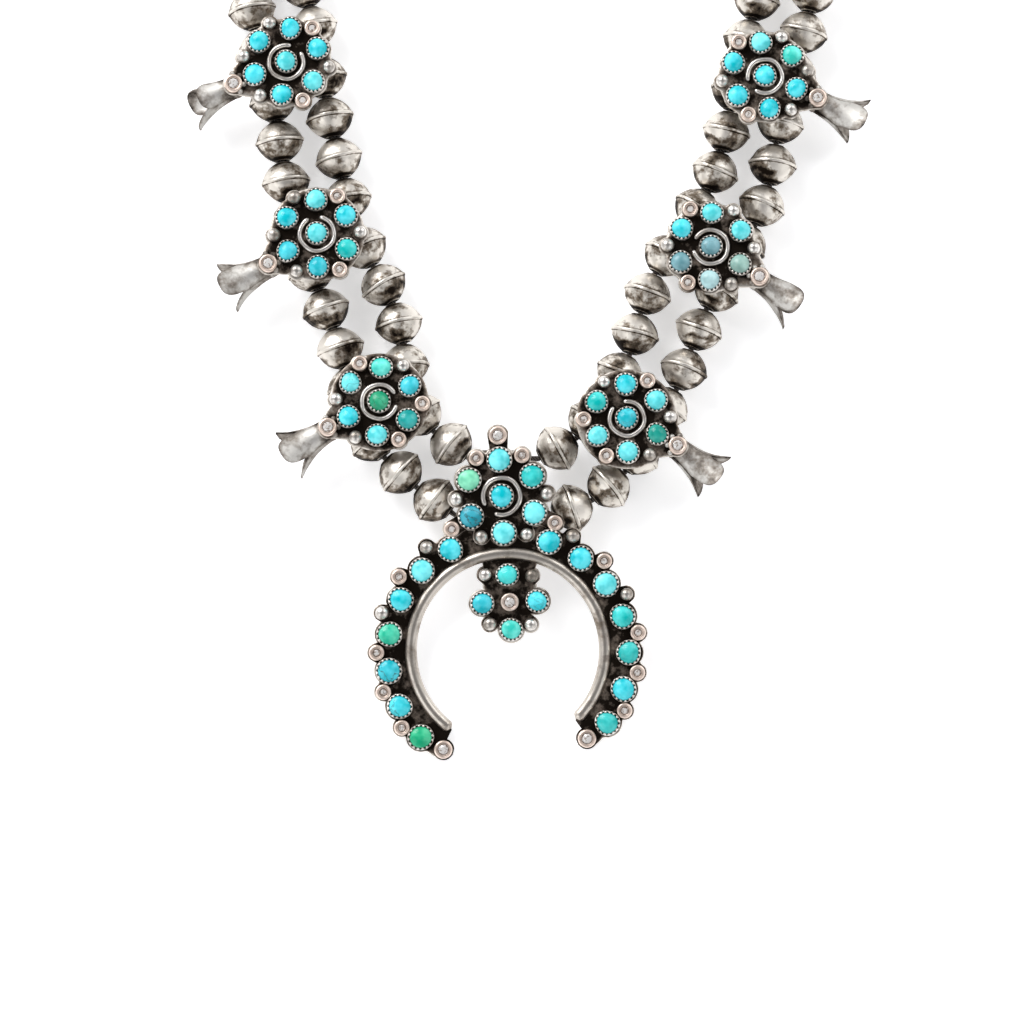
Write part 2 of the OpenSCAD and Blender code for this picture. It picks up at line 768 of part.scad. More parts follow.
naja();
on_naja() cabochons(crown_items);  // naja_crown_turquoise
on_naja() cabochons(crescent_items);  // naja_crescent_turquoise
on_naja() cabochons(drop_items);  // naja_drop_turquoise
on_naja() cut_stones(naja_items);  // naja_diamonds
blossom(blossoms[0]);  // blossom_l1
blossom_turquoise(blossoms[0]);  // blossom_l1_turquoise
blossom_diamonds(blossoms[0]);  // blossom_l1_diamonds
blossom(blossoms[1]);  // blossom_l2
blossom_turquoise(blossoms[1]);  // blossom_l2_turquoise
blossom_diamonds(blossoms[1]);  // blossom_l2_diamonds
blossom(blossoms[2]);  // blossom_l3
blossom_turquoise(blossoms[2]);  // blossom_l3_turquoise
blossom_diamonds(blossoms[2]);  // blossom_l3_diamonds
blossom(blossoms[3]);  // blossom_r1
blossom_turquoise(blossoms[3]);  // blossom_r1_turquoise
blossom_diamonds(blossoms[3]);  // blossom_r1_diamonds
blossom(blossoms[4]);  // blossom_r2
blossom_turquoise(blossoms[4]);  // blossom_r2_turquoise
blossom_diamonds(blossoms[4]);  // blossom_r2_diamonds
blossom(blossoms[5]);  // blossom_r3
blossom_turquoise(blossoms[5]);  // blossom_r3_turquoise
blossom_diamonds(blossoms[5]);  // blossom_r3_diamonds
beads(LEFT, INNER);  // inner_beads_left
beads(RIGHT, INNER);  // inner_beads_right
beads(LEFT, OUTER);  // outer_beads_left
beads(RIGHT, OUTER);  // outer_beads_right
thread(INNER);  // inner_thread
thread(OUTER);  // outer_thread
clasp();
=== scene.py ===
# %% [markdown]
# # A squash blossom necklace, laid out on a table
#
# Two strands of handmade silver beads carry six blossoms and a crescent pendant, which its makers call a naja.
# The CAD model gives every size and place. This script loads it as a fixed frame and makes the surfaces that
# the eye sees: dented beads with a worn seam and painted shade, saw-toothed bezels, domed turquoise, black
# patina between the settings, and thin petals. All lengths below are in millimetres until a mesh is made.

# %% Load the CAD model
import math

import bpy
import numpy as np
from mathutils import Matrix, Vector


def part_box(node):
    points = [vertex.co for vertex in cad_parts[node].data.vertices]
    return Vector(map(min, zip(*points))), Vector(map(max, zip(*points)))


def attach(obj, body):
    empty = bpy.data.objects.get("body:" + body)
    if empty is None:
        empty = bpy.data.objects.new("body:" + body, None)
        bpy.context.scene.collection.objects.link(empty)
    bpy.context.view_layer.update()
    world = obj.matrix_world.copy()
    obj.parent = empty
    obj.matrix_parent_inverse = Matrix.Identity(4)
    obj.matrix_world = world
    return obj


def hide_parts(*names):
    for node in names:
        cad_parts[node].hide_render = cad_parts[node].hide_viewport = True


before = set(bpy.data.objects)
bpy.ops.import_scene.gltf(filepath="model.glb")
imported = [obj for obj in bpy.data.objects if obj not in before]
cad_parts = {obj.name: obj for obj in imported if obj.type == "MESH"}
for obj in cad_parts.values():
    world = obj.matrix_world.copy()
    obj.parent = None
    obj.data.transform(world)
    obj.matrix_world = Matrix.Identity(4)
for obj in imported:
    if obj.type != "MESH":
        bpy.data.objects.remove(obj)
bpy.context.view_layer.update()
MM = 0.001
print("CAD nodes:", len(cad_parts))

# %% [markdown]
# ## Reading places from the frame
#
# A strand node holds about thirty beads, and a stone node up to fourteen stones. Each solid is an island of
# triangles. To find the islands, corners that share a place are made one, and every corner then takes the
# lowest number that it meets along an edge, until nothing changes. Working out the places again from numbers
# would be shorter to run, but then a change in the CAD model would leave the beads behind.


# %% Islands of a node
def islands(name):
    """The corner points of each separate solid in a node, in millimetres, in the node's own order."""
    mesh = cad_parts[name].data
    points = np.empty(len(mesh.vertices) * 3, np.float32)
    mesh.vertices.foreach_get("co", points)
    points = points.reshape(-1, 3).astype(float) / MM
    edges = np.empty(len(mesh.edges) * 2, np.int32)
    mesh.edges.foreach_get("vertices", edges)
    same = np.unique(np.round(points, 3), axis=0, return_inverse=True)[1].reshape(-1)
    first = np.full(same.max() + 1, len(points))
    np.minimum.at(first, same, np.arange(len(points)))
    label = first[same]
    a, b = edges.reshape(-1, 2).T
    while True:
        low = label.copy()
        lowest = np.minimum(label[a], label[b])
        np.minimum.at(low, a, lowest)
        np.minimum.at(low, b, lowest)
        np.minimum.at(first, same, low)
        low = np.minimum(low, first[same])
        low = low[low]
        if (low == label).all():
            return [points[label == k] for k in np.unique(label)]
        label = low


def middle(points):
    return (points.min(0) + points.max(0)) / 2


BEAD_NODES = ["inner_beads_left", "inner_beads_right", "outer_beads_left", "outer_beads_right"]
bead_islands = {name: islands(name) for name in BEAD_NODES}
print("beads:", {name: len(found) for name, found in bead_islands.items()})

# %% [markdown]
# ## Making meshes from grids
#
# Every new surface here is a grid of points worked out as one array: rows go one way, columns the other. A
# sculpted or boxed mesh would need hand work for each of two hundred pieces, while a formula makes them all
# alike and still lets each one differ by a random number. The helper below joins many grids into one mesh,
# merges points that coincide, so poles and seams are closed, and turns each shell so that it faces outward.


# %% Grid helpers
def cells(rows, columns, wrap_rows, wrap_columns):
    """Four-cornered cells between neighbouring points of a grid."""
    i = np.arange(rows if wrap_rows else rows - 1)[:, None]
    j = np.arange(columns if wrap_columns else columns - 1)[None, :]
    i2, j2 = (i + 1) % rows, (j + 1) % columns
    corners = [i * columns + j, i2 * columns + j, i2 * columns + j2, i * columns + j2]
    return np.stack([np.broadcast_to(c, (i.size, j.size)) for c in corners], -1).reshape(-1, 4)


def volumes(points, faces):
    """Signed volume of each shell: the sum, over its triangles, of a . (b x c) / 6."""
    a, b, c, d = (points[:, faces[:, k]] for k in range(4))
    return (np.einsum("nfk,nfk->n", a, np.cross(b, c)) + np.einsum("nfk,nfk->n", a, np.cross(c, d))) / 6


class Surfaces:
    """Grids that together make one piece. Each point carries numbers for the materials to read."""

    def __init__(self):
        self.points, self.faces, self.kinds, self.count = [], [], [], 0
        self.values = {"dark": [], "along": [], "tint": []}

    def add(self, grid, wrap_rows=True, wrap_columns=False, kind=0, dark=0.0, along=9.0, tint=(0, 0, 0)):
        """Adds grids of shape (..., rows, columns, 3). Both ends of the columns may be single points."""
        rows, columns = grid.shape[-3:-1]
        points = np.asarray(grid, float).reshape(-1, rows * columns, 3)
        shells = len(points)
        faces = cells(rows, columns, wrap_rows, wrap_columns)
        inward = volumes(points - points.mean(1, keepdims=True), faces) < 0
        order = np.where(inward[:, None, None], faces[None, :, ::-1], faces[None])
        offset = self.count + np.arange(shells)[:, None, None] * rows * columns
        self.faces.append((order + offset).reshape(-1, 4))
        self.kinds.append(np.full(shells * len(faces), kind))
        self.points.append(points.reshape(-1, 3))
        shape = grid.shape[:-1]
        for name, value in (("dark", dark), ("along", along)):
            self.values[name].append(np.broadcast_to(value, shape).reshape(-1))
        self.values["tint"].append(np.broadcast_to(tint, shape + (3,)).reshape(-1, 3))
        self.count += shells * rows * columns

    def put(self, shape, frame_of, at=0, **more):
        """Adds a shape, given as its points and their darkness, at a place in a frame."""
        points, dark = shape
        self.add(placed(points + at, frame_of), dark=dark, **more)

    def piece(self, name, materials):
        """Makes the object, with its place in its mesh. Coinciding points become one and flat cells go."""
        points = np.concatenate(self.points)
        keep, merged = np.unique(np.round(points, 4), axis=0, return_index=True, return_inverse=True)[1:]
        faces = merged.reshape(-1)[np.concatenate(self.faces)]
        kinds = np.concatenate(self.kinds)
        apart = faces != np.roll(faces, 1, axis=1)
        whole = apart.all(1)
        three = apart.sum(1) == 3
        polygons = faces[whole].tolist() + faces[three][apart[three]].reshape(-1, 3).tolist()
        mesh = bpy.data.meshes.new(name)
        mesh.from_pydata((points[keep] * MM).tolist(), [], polygons)
        kinds = np.concatenate([kinds[whole], kinds[three]]).astype(np.int32)
        mesh.polygons.foreach_set("material_index", kinds)
        mesh.polygons.foreach_set("use_smooth", np.ones(len(polygons), bool))
        for value in ("dark", "along"):
            layer = mesh.attributes.new(value, "FLOAT", "POINT")
            layer.data.foreach_set("value", np.concatenate(self.values[value])[keep].astype(np.float32))
        layer = mesh.attributes.new("tint", "FLOAT_COLOR", "POINT")
        tint = np.concatenate(self.values["tint"])[keep]
        layer.data.foreach_set("color", np.c_[tint, np.ones(len(tint))].astype(np.float32).ravel())
        for material in materials:
            mesh.materials.append(material)
        mesh.update()
        thing = into_scene(name, mesh)
        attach(thing, "root")
        print(f"{name}: {len(polygons)} faces")
        return thing


def about_z(radius, angle, height):
    """Points about Z: x = r cos a, y = r sin a, z = height."""
    x = radius * np.cos(angle)
    return np.stack([x, radius * np.sin(angle), height + 0 * x], -1)


def turned(profile, around):
    """Turns a profile of (radius, height) pairs about Z."""
    angle = np.linspace(0, 2 * np.pi, around, endpoint=False)[:, None]
    radius, height = np.asarray(profile, float).T
    return about_z(radius, angle, height)


def placed(points, frame_of):
    """Moves points from a piece's own axes to the table: origin + x X + y Y + z Z."""
    origin, axes = frame_of
    return origin + points @ axes


def into_scene(name, data):
    """An object for a mesh, light or camera, in the scene's collection."""
    thing = bpy.data.objects.new(name, data)
    bpy.context.scene.collection.objects.link(thing)
    return thing


def smoothstep(low, high, x):
    t = np.clip((x - low) / (high - low), 0, 1)
    return t * t * (3 - 2 * t)


def linear(code):
    """A colour written as on a screen, such as 3cc7d8, as linear light."""
    value = np.array([int(code[i : i + 2], 16) for i in (0, 2, 4)]) / 255
    return np.where(value <= 0.04045, value / 12.92, ((value + 0.055) / 1.055) ** 2.4)


# %% [markdown]
# ## Finishes
#
# Old silver is bright where cloth and skin rub it and dark where they do not reach. So each silver surface
# carries a number, dark, that the shapes below set in creases and between settings, and the material adds
# blotches and fine scratches by noise. On the beads, dark also holds painted shade on their sides and
# undersides and, together with patina patches, on the cone towards the pendant. Painting an image would do as
# well, but noise needs no picture and has the same detail from every side.


# %% Material helpers
def set_stops(made, stops):
    """Gives a colour ramp its stops: places from 0 to 1, and colours in linear light."""
    elements = made.color_ramp.elements
    while len(elements) < len(stops):
        elements.new(0.5)
    for element, (place, colour) in zip(elements, stops):
        element.position, element.color = place, (*colour, 1)


class Recipe:
    """A material, with short names for the steps that make its nodes."""

    def __init__(self, name):
        self.material = bpy.data.materials.new(name)
        self.material.use_nodes = True
        self.tree = self.material.node_tree
        self.shader = self.tree.nodes["Principled BSDF"]

    def node(self, kind, **settings):
        made = self.tree.nodes.new(kind)
        for key, value in settings.items():
            if key in made.inputs:
                made.inputs[key].default_value = value
            else:
                setattr(made, key, value)
        return made

    def join(self, source, target):
        self.tree.links.new(source, target)

    def feed(self, socket, source):
        self.join(source, self.shader.inputs[socket])

    def noise(self, scale, detail=3.0, stretch=(1, 1, 1), shift=0.0):
        """Noise on object coordinates. Scale is in features per metre."""
        place = self.node("ShaderNodeTexCoord")
        mapping = self.node("ShaderNodeMapping", Scale=stretch, Location=(shift, shift, shift))
        noise = self.node("ShaderNodeTexNoise", Scale=scale, Detail=detail, Roughness=0.55)
        self.join(place.outputs["Object"], mapping.inputs["Vector"])
        self.join(mapping.outputs["Vector"], noise.inputs["Vector"])
        return noise.outputs["Fac"]

    def maths(self, operation, a, b=0.5, clamp=False):
        made = self.node("ShaderNodeMath", operation=operation, use_clamp=clamp)
        for socket, value in zip(made.inputs, (a, b)):
            if isinstance(value, (int, float)):
                socket.default_value = value
            else:
                self.join(value, socket)
        return made.outputs[0]

    def add(self, a, b, clamp=False):
        return self.maths("ADD", a, b, clamp)

    def minus(self, a, b, clamp=False):
        return self.maths("SUBTRACT", a, b, clamp)

    def times(self, a, b):
        return self.maths("MULTIPLY", a, b)

    def ramp(self, source, stops):
        made = self.node("ShaderNodeValToRGB")
        set_stops(made, stops)
        self.join(source, made.inputs["Fac"])
        return made.outputs["Color"]

    def attribute(self, name, output="Fac"):
        return self.node("ShaderNodeAttribute", attribute_name=name).outputs[output]

    def bump(self, height, strength, distance):
        made = self.node("ShaderNodeBump", Strength=strength, Distance=distance)
        self.join(height, made.inputs["Height"])
        self.feed("Normal", made.outputs["Normal"])


# %% [markdown]
# Silver is one recipe with a few settings: how bright the metal is, how much blotchy patina it has, and how
# rough it is. Darkness is the number dark of the shapes plus blotches of three sizes, and on the beads also
# painted shadow lines beside the seam. It drives colour and roughness together, as a sulphide skin is both
# darker and duller than the metal. Half-way it is brown, because a thin skin is brown before it is black.


# %% Silver
# Painted shadow lines on both sides of a bead's raised seam, darker on the side towards the pendant: their
# place along the thread in millimetres, and their strength
SEAM_SHADOW_LINES, SEAM_SHADOW_SHARP = ((0.46, 0.8), (-0.46, 0.35)), 6.5


def silver(name, bright, between, deep, blotch, polish, scratch=0.25, relief=0.45, seam=False, glance=1.0):
    """Metal in three colours by darkness. Blotch is how patchy it is, polish its least roughness."""
    r = Recipe(name)
    large, middling, small = r.noise(190, 4, shift=0.3), r.noise(520, 4, shift=0.1), r.noise(1500, 3)
    mixed = r.add(r.add(r.times(large, 0.55), r.times(middling, 0.32)), r.times(small, 0.13))
    darkness = r.add(r.times(r.minus(mixed, 0.5), blotch * 4), r.attribute("dark"))
    # Painted shadow lines beside the bead's raised seam, the stronger one on the side towards the pendant.
    if seam:
        along = r.attribute("along")
        for place, strength in SEAM_SHADOW_LINES:
            away = r.maths("ABSOLUTE", r.minus(along, place))
            darkness = r.add(darkness, r.minus(strength, r.times(away, strength * SEAM_SHADOW_SHARP), clamp=True))
    darkness = r.add(darkness, 0.0, clamp=True)
    r.feed("Base Color", r.ramp(darkness, [(0.0, bright), (0.42, between), (0.9, deep)]))
    r.shader.inputs["Metallic"].default_value = 1.0
    r.shader.inputs["Specular Tint"].default_value = (glance, glance, glance, 1)
    r.feed("Roughness", r.add(r.add(r.times(darkness, 0.25), polish), r.times(small, 0.12)))
    fine = r.noise(5200, 2, stretch=(1, 0.35, 1))
    height = r.add(r.add(middling, r.times(small, 0.5)), r.times(fine, scratch))
    r.bump(height, relief, 0.00022)
    return r.material


BLACK, BROWN = (0.016, 0.012, 0.009), (0.24, 0.195, 0.16)
BEAD_SILVER = silver(
    "bead_silver_worn_with_painted_shade", (0.76, 0.715, 0.65), (0.21, 0.17, 0.13), (0.016, 0.011, 0.008), 1.35, 0.34, seam=True)
BRIGHT_SILVER = silver(
    "raised_silver_polished", (0.80, 0.77, 0.73), (0.34, 0.30, 0.26), BLACK, 0.6, 0.27, relief=0.2)
PETAL_SILVER = silver(
    "petal_silver_brushed", (0.69, 0.67, 0.635), (0.34, 0.305, 0.27), (0.05, 0.04, 0.033), 0.9, 0.46,
    scratch=0.5, glance=0.45)
PLATE_SILVER = silver("plate_silver_blackened", (0.66, 0.61, 0.55), BROWN, BLACK, 1.2, 0.36)
TUBE_SILVER = silver(
    "tube_silver_warm", (0.96, 0.80, 0.70), (0.56, 0.43, 0.35), (0.05, 0.035, 0.028), 0.35, 0.33, relief=0.2)
RIM_SILVER = silver("rim_silver_soft", (0.62, 0.57, 0.51), (0.27, 0.225, 0.185), BLACK, 0.8, 0.3, relief=0.12)

# %% [markdown]
# Turquoise is a waxy, opaque stone. Its colour comes from the stone's own number, lightened and deepened by
# slow noise, with thin brown veins of the rock that it grew in. A little light passes under the surface, and
# the polish is a clear layer on top.


# %% Turquoise
def turquoise(name):
    r = Recipe(name)
    tint = r.attribute("tint", "Color")
    slow = r.noise(330, 2, shift=0.7)
    light = r.node("ShaderNodeHueSaturation", Value=1.2, Saturation=0.9)
    deep = r.node("ShaderNodeHueSaturation", Value=0.78, Saturation=1.05)
    r.join(tint, light.inputs["Color"])
    r.join(tint, deep.inputs["Color"])
    mix = r.node("ShaderNodeMix", data_type="RGBA")
    r.join(r.ramp(slow, [(0.36, (0, 0, 0)), (0.62, (1, 1, 1))]), mix.inputs["Factor"])
    r.join(deep.outputs["Color"], mix.inputs["A"])
    r.join(light.outputs["Color"], mix.inputs["B"])
    away = r.maths("ABSOLUTE", r.minus(r.noise(210, 5, shift=1.9), 0.5))
    vein = r.minus(1.0, r.times(away, 55), clamp=True)
    veined = r.node("ShaderNodeMix", data_type="RGBA")
    r.join(r.times(vein, r.attribute("dark")), veined.inputs["Factor"])
    r.join(mix.outputs["Result"], veined.inputs["A"])
    veined.inputs["B"].default_value = (0.035, 0.045, 0.03, 1)
    r.feed("Base Color", veined.outputs["Result"])
    r.feed("Roughness", r.add(r.times(slow, 0.15), 0.18))
    r.shader.inputs["Subsurface Weight"].default_value = 0.15
    r.shader.inputs["Subsurface Radius"].default_value = (0.4, 0.8, 0.9)
    r.shader.inputs["Subsurface Scale"].default_value = 0.0006
    r.shader.inputs["Specular IOR Level"].default_value = 0.32
    r.shader.inputs["Coat Weight"].default_value = 0.12
    r.shader.inputs["Coat Roughness"].default_value = 0.08
    r.bump(slow, 0.15, 0.0001)
    return r.material


TURQUOISE = turquoise("turquoise_polished")

# %% [markdown]
# The cut stones are partly clear, with a faint warm tint and painted sparkle: noise paints their colour in
# small dark and bright patches that stand for glints off facets. The strands' threads are twisted dark cord,
# seen only in the gaps between beads: a wave across their length makes the twist.


# %% Cut stones and thread
def diamond(name):
    r = Recipe(name)
    painted_sparkle = r.noise(1900, 1)
    # Painted sparkle: small dark and bright patches of colour stand for glints off the facets.
    r.feed("Base Color", r.ramp(painted_sparkle, [(0.38, (0.45, 0.38, 0.33)), (0.46, (0.99, 0.96, 0.93))]))
    r.feed("Roughness", r.add(r.times(painted_sparkle, 0.06), 0.01))
    r.shader.inputs["Transmission Weight"].default_value = 0.3
    r.shader.inputs["IOR"].default_value = 2.2
    return r.material


def cord(name):
    r = Recipe(name)
    place = r.node("ShaderNodeTexCoord")
    wave = r.node("ShaderNodeTexWave", Scale=900.0, Distortion=1.5, Detail=1.0, bands_direction="DIAGONAL")
    r.join(place.outputs["Object"], wave.inputs["Vector"])
    twist = wave.outputs["Fac"]
    r.feed("Base Color", r.ramp(twist, [(0.2, (0.02, 0.016, 0.013)), (0.9, (0.12, 0.10, 0.085))]))
    r.shader.inputs["Roughness"].default_value = 0.7
    r.bump(twist, 0.6, 0.0002)
    return r.material


DIAMOND = diamond("cut_stone_painted_sparkle")
CORD = cord("thread_twisted")


def dress(node_name, material):
    """Gives a CAD node that stays in view its own material."""
    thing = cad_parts[node_name]
    for slot in thing.material_slots:
        slot.material = material
    if not thing.material_slots:
        thing.data.materials.append(material)


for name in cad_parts:
    if name.endswith("diamonds"):
        dress(name, DIAMOND)
for name in ("inner_thread", "outer_thread"):
    dress(name, CORD)
print("materials:", [m.name for m in bpy.data.materials][-9:])

# %% [markdown]
# ## Beads
#
# A bench bead is two cups of sheet silver, punched and soldered rim to rim, so it is a double cone with soft
# sides, a raised seam and a flat collar round each hole. Each cup was struck by hand and the bead has been
# worn, so no two match. The shape is a profile turned about the thread: the side is a straight line from rim
# to collar plus a bulge 4 t (1 - t), and dents are small bells taken off the radius.

# %% Bead profile
BEAD_R, CUP_R, COLLAR_R, BORE_R, HALF = 5.5, 5.35, 1.6, 1.0, 4.4
BULGE = 0.7
AROUND, STEPS = 52, 11


def cup_side():
    """Radius and place along the thread from just beside the seam to the collar."""
    t = np.linspace(0.07, 0.93, STEPS)
    reach = math.hypot(CUP_R - COLLAR_R, HALF)
    bulge = BULGE * 4 * t * (1 - t) / reach
    return np.c_[CUP_R + (COLLAR_R - CUP_R) * t + bulge * HALF, HALF * t + bulge * (CUP_R - COLLAR_R)]


right = np.vstack([
    [[BEAD_R, 0.0], [BEAD_R - 0.02, 0.17], [CUP_R + 0.02, 0.32]],
    cup_side(),
    [[1.95, 4.2], [1.85, 4.36], [COLLAR_R, HALF], [1.25, HALF], [BORE_R, 4.3], [BORE_R, 3.4]],
])
left = right[:0:-1] * [1, -1]
PROFILE = np.vstack([left, right])
print("points in a bead's profile:", len(PROFILE))


# %% Shape many beads at once
def bead_grids(places, ways, rng):
    """Beads as an array (bead, around, profile, 3), with their darkness and place along the thread. The
    darkness is patina in creases, dents and patches, with painted shade on the sides, the underside and the
    cone towards the pendant.
    """
    count = len(places)
    angle = np.linspace(0, 2 * np.pi, AROUND, endpoint=False)[None, :, None]
    radius = np.broadcast_to(PROFILE[:, 0], (count, AROUND, len(PROFILE))).copy()
    along = np.broadcast_to(PROFILE[:, 1], radius.shape).copy()
    side = smoothstep(1.7, 2.6, radius)

    def bells(number, low, high, deep):
        """A sum of bells, each at its own angle and place: depth exp(-distance^2 / width^2)."""
        shape = (count, 1, 1, number)
        at_angle, at = rng.uniform(0, 2 * np.pi, shape), rng.uniform(-3.9, 3.9, shape)
        width, long = rng.uniform(low, high, shape), rng.uniform(0.6, 1.7, shape)
        depth = deep * rng.uniform(0.25, 1, shape) ** 1.5
        apart = (angle[..., None] - at_angle + np.pi) % (2 * np.pi) - np.pi
        across = apart * np.maximum(radius[..., None], 1.5) / long
        return (depth * np.exp(-(across**2 + ((along[..., None] - at) * long) ** 2) / width**2)).sum(-1)

    dents = bells(9, 0.45, 1.2, 0.3)
    soft = bells(5, 1.6, 2.8, 0.2)
    phase = rng.uniform(0, 2 * np.pi, (6, count, 1, 1))
    wobble = 0.05 * np.sin(2 * angle + phase[0]) + 0.04 * np.sin(5 * angle + phase[1])
    seam = smoothstep(0.55, 0.0, np.abs(along))
    radius = radius - side * (dents * (1 - 0.75 * seam) + soft * (1 - 0.4 * seam)) + wobble * side * 0.8
    radius = np.minimum(radius, BEAD_R)
    drift = 0.16 * np.sin(angle + phase[2]) + 0.07 * np.sin(3 * angle + phase[0])
    place = along + drift * smoothstep(3.4, 0.6, np.abs(along))
    middle_of_band = 2.4 + 0.55 * np.sin(2 * angle + phase[3]) + 0.3 * np.sin(5 * angle + phase[4])
    band = np.exp(-(((along - middle_of_band) / 0.42) ** 2)) * smoothstep(0.1, 0.9, np.sin(angle + phase[5]))
    patches = bells(6, 0.6, 1.9, 1.0)
    # Painted shade: lower darkens the cone towards the pendant, away from the key light, and beside darkens the
    # sides across the strand and the underside that faces the table.
    lower = smoothstep(-1.5, 2.0, along)
    beside = smoothstep(0.8, 1.0, np.abs(np.cos(angle))) + smoothstep(0.0, -0.5, np.sin(angle))
    # Patina in dents, patches and a band, the patches heavier on the lower cone, plus the painted shade of
    # lower and beside.
    dark = 1.2 * dents + patches * (0.3 + 0.6 * lower) + band * rng.uniform(0.2, 1.1, (count, 1, 1))
    dark += 0.3 * beside + 0.9 * smoothstep(3.6, 4.1, np.abs(along)) * smoothstep(4.33, 4.2, np.abs(along))
    dark += smoothstep(1.5, 1.2, radius) + 0.1 * lower - 0.35 * seam + 0.02
    x, y, z = place, radius * np.cos(angle), radius * np.sin(angle)
    way = ways[:, None, None, :]
    across = np.stack([-way[..., 1], way[..., 0], 0 * way[..., 0]], -1)
    up = np.array([0, 0, 1.0])
    points = places[:, None, None, :] + x[..., None] * way + y[..., None] * across + z[..., None] * up
    return points, dark, along


def bead_axes(found):
    """A bead's middle and axis: of its two main directions in plan, the shorter, pointing to the pendant."""
    places, ways = [], []
    for points in found:
        place = middle(points)
        flat = points[:, :2] - place[:2]
        vectors = np.linalg.eigh(flat.T @ flat)[1].T
        reach = [np.ptp(flat @ v) for v in vectors]
        way = vectors[int(np.argmin(reach))]
        way = way if way[1] < 0 else -way
        places.append(place)
        ways.append([way[0], way[1], 0])
    return np.array(places), np.array(ways)


beads = {}
for number, name in enumerate(BEAD_NODES):
    rng = np.random.default_rng(40 + number)
    beads[name] = bead_axes(bead_islands[name])
    points, dark, along = bead_grids(*beads[name], rng)
    surfaces = Surfaces()
    surfaces.add(points, wrap_columns=True, dark=dark, along=along)
    strand = surfaces.piece(name + "_silver", [BEAD_SILVER])
    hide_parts(name)

# %% [markdown]
# ## What sits on a plate
#
# The blossoms and the pendant share one language: a bezel round each stone, small tube settings, balls, and
# an open ring of wire round a middle stone. The layout repeats the rules of the CAD source: six stones round
# one, and in each of the six gaps a ball or a tube that touches both neighbours.

# %% Layout of the settings
STONE_R, NAJA_STONE_R = 2.25, 2.5
BEZEL_R, NAJA_BEZEL_R = 2.67, 2.92
CUT_R = {"small": 0.85, "large": 1.15}
TUBE_R = {"small": 1.72, "large": 2.02}
BALL_R, WIRE_R, PLATE_T, RIM = 1.55, 0.55, 0.9, 0.4
BEZEL_H, TUBE_H, ITEM_GAP = 1.6, 1.4, 0.4
RING_INNER_GAP, RING_OUTER_GAP = 0.6, 0.5


def ring_radius(bezel):
    return bezel + RING_INNER_GAP + WIRE_R


def stones_radius(bezel):
    return ring_radius(bezel) + WIRE_R + RING_OUTER_GAP + bezel


def gap_radius(bezel):
    touch = bezel + TUBE_R["small"] + ITEM_GAP
    far = stones_radius(bezel)
    return far * math.cos(math.pi / 6) + math.sqrt(touch**2 - (far * 0.5) ** 2)


def polar(radius, degrees):
    return np.array([radius * math.cos(math.radians(degrees)), radius * math.sin(math.radians(degrees))])


def item(kind, place):
    radius = {"ball": BALL_R, "stone": BEZEL_R, "naja_stone": NAJA_BEZEL_R}.get(kind) or TUBE_R[kind]
    return {"kind": kind, "at": np.asarray(place, float), "r": radius}


def rosette(kind, turn, gaps, at=(0, 0)):
    bezel = NAJA_BEZEL_R if kind == "naja_stone" else BEZEL_R
    spots = [(0, 0)] + [polar(stones_radius(bezel), turn + 60 * k) for k in range(6)]
    stones = [item(kind, np.add(at, p)) for p in spots]
    between = [item(g, np.add(at, polar(gap_radius(bezel), turn + 30 + 60 * k))) for k, g in enumerate(gaps)]
    return stones + between


def beyond(bezel, kind):
    return stones_radius(bezel) + bezel + ITEM_GAP + TUBE_R[kind]


B, S, L = "ball", "small", "large"
UPPER_GAPS, LOWEST_GAPS = [B, B, S, B, S, B], [B, S, B, S, S, B]


def blossom_items(number):
    gaps = LOWEST_GAPS if number == 3 else UPPER_GAPS
    return rosette("stone", 0, gaps) + [item(L, (beyond(BEZEL_R, L), 0))]


# %% Layout of the pendant
RIM_R, BAND_W, TURN, HALF_SWEEP = 21.3, 7.1, 4.4, 141
CROWN, DROP = np.array([-1.4, 33.8]), np.array([0.4, 10.6])
ARM_FIRST, ARM_LAST, ARM_STONES, WIDENING = 25.2, 130.5, 7, 0.25
ARM_EDGE, TIP_BEARING, RIM_WIRE_R = [B, S, B, S, S, S], 142.5, 1.35
CROWN_TURN, CROWN_OPENING, DROP_STONES_R = 33.5, 229, 6
arm_pitch = (ARM_LAST - ARM_FIRST) / (ARM_STONES - 1)
arm_r = RIM_R + RIM_WIRE_R + NAJA_BEZEL_R - 0.1

crown_items = rosette("naja_stone", CROWN_TURN, [S, S, B, B, B, B], CROWN)
for n, kind in ((1, L), (3, S), (5, S)):
    crown_items.append(item(kind, CROWN + polar(beyond(NAJA_BEZEL_R, kind), CROWN_TURN + 60 * n)))


def arm_items(side):
    def bearing(i):
        return 90 + TURN + side * (ARM_FIRST + arm_pitch * i)

    stones = [item("naja_stone", polar(arm_r + WIDENING * i, bearing(i))) for i in range(ARM_STONES)]
    edge = [item(k, polar(RIM_R + BAND_W + 0.4, bearing(i + 0.5))) for i, k in enumerate(ARM_EDGE)]
    tip = item(L, polar(arm_r + 2 * WIDENING, 90 + TURN + side * TIP_BEARING))
    return stones + edge + [tip]


crescent_items = arm_items(1) + arm_items(-1)
drop_items = [item(L, DROP)] + [item("stone", DROP + polar(DROP_STONES_R, a)) for a in (95, 183, 2, -87)]
for a, far in ((132, 1.34), (50, 1.25), (228, 1.08), (-47, 1.12)):
    drop_items.append(item(B, DROP + polar(DROP_STONES_R * far, a)))
naja_items = crown_items + crescent_items + drop_items
print("settings on the pendant:", len(naja_items))

# %% [markdown]
# ## Where the blossoms and the pendant stand
#
# A blossom's place comes from its own CAD stones: the middle one is the centre, and the cut stone furthest
# from it shows the way of the stem. The left blossoms are mirror images of the right ones. The pendant leans
# on its lower bail, and its tips touch the table, which gives the angle of its plate.

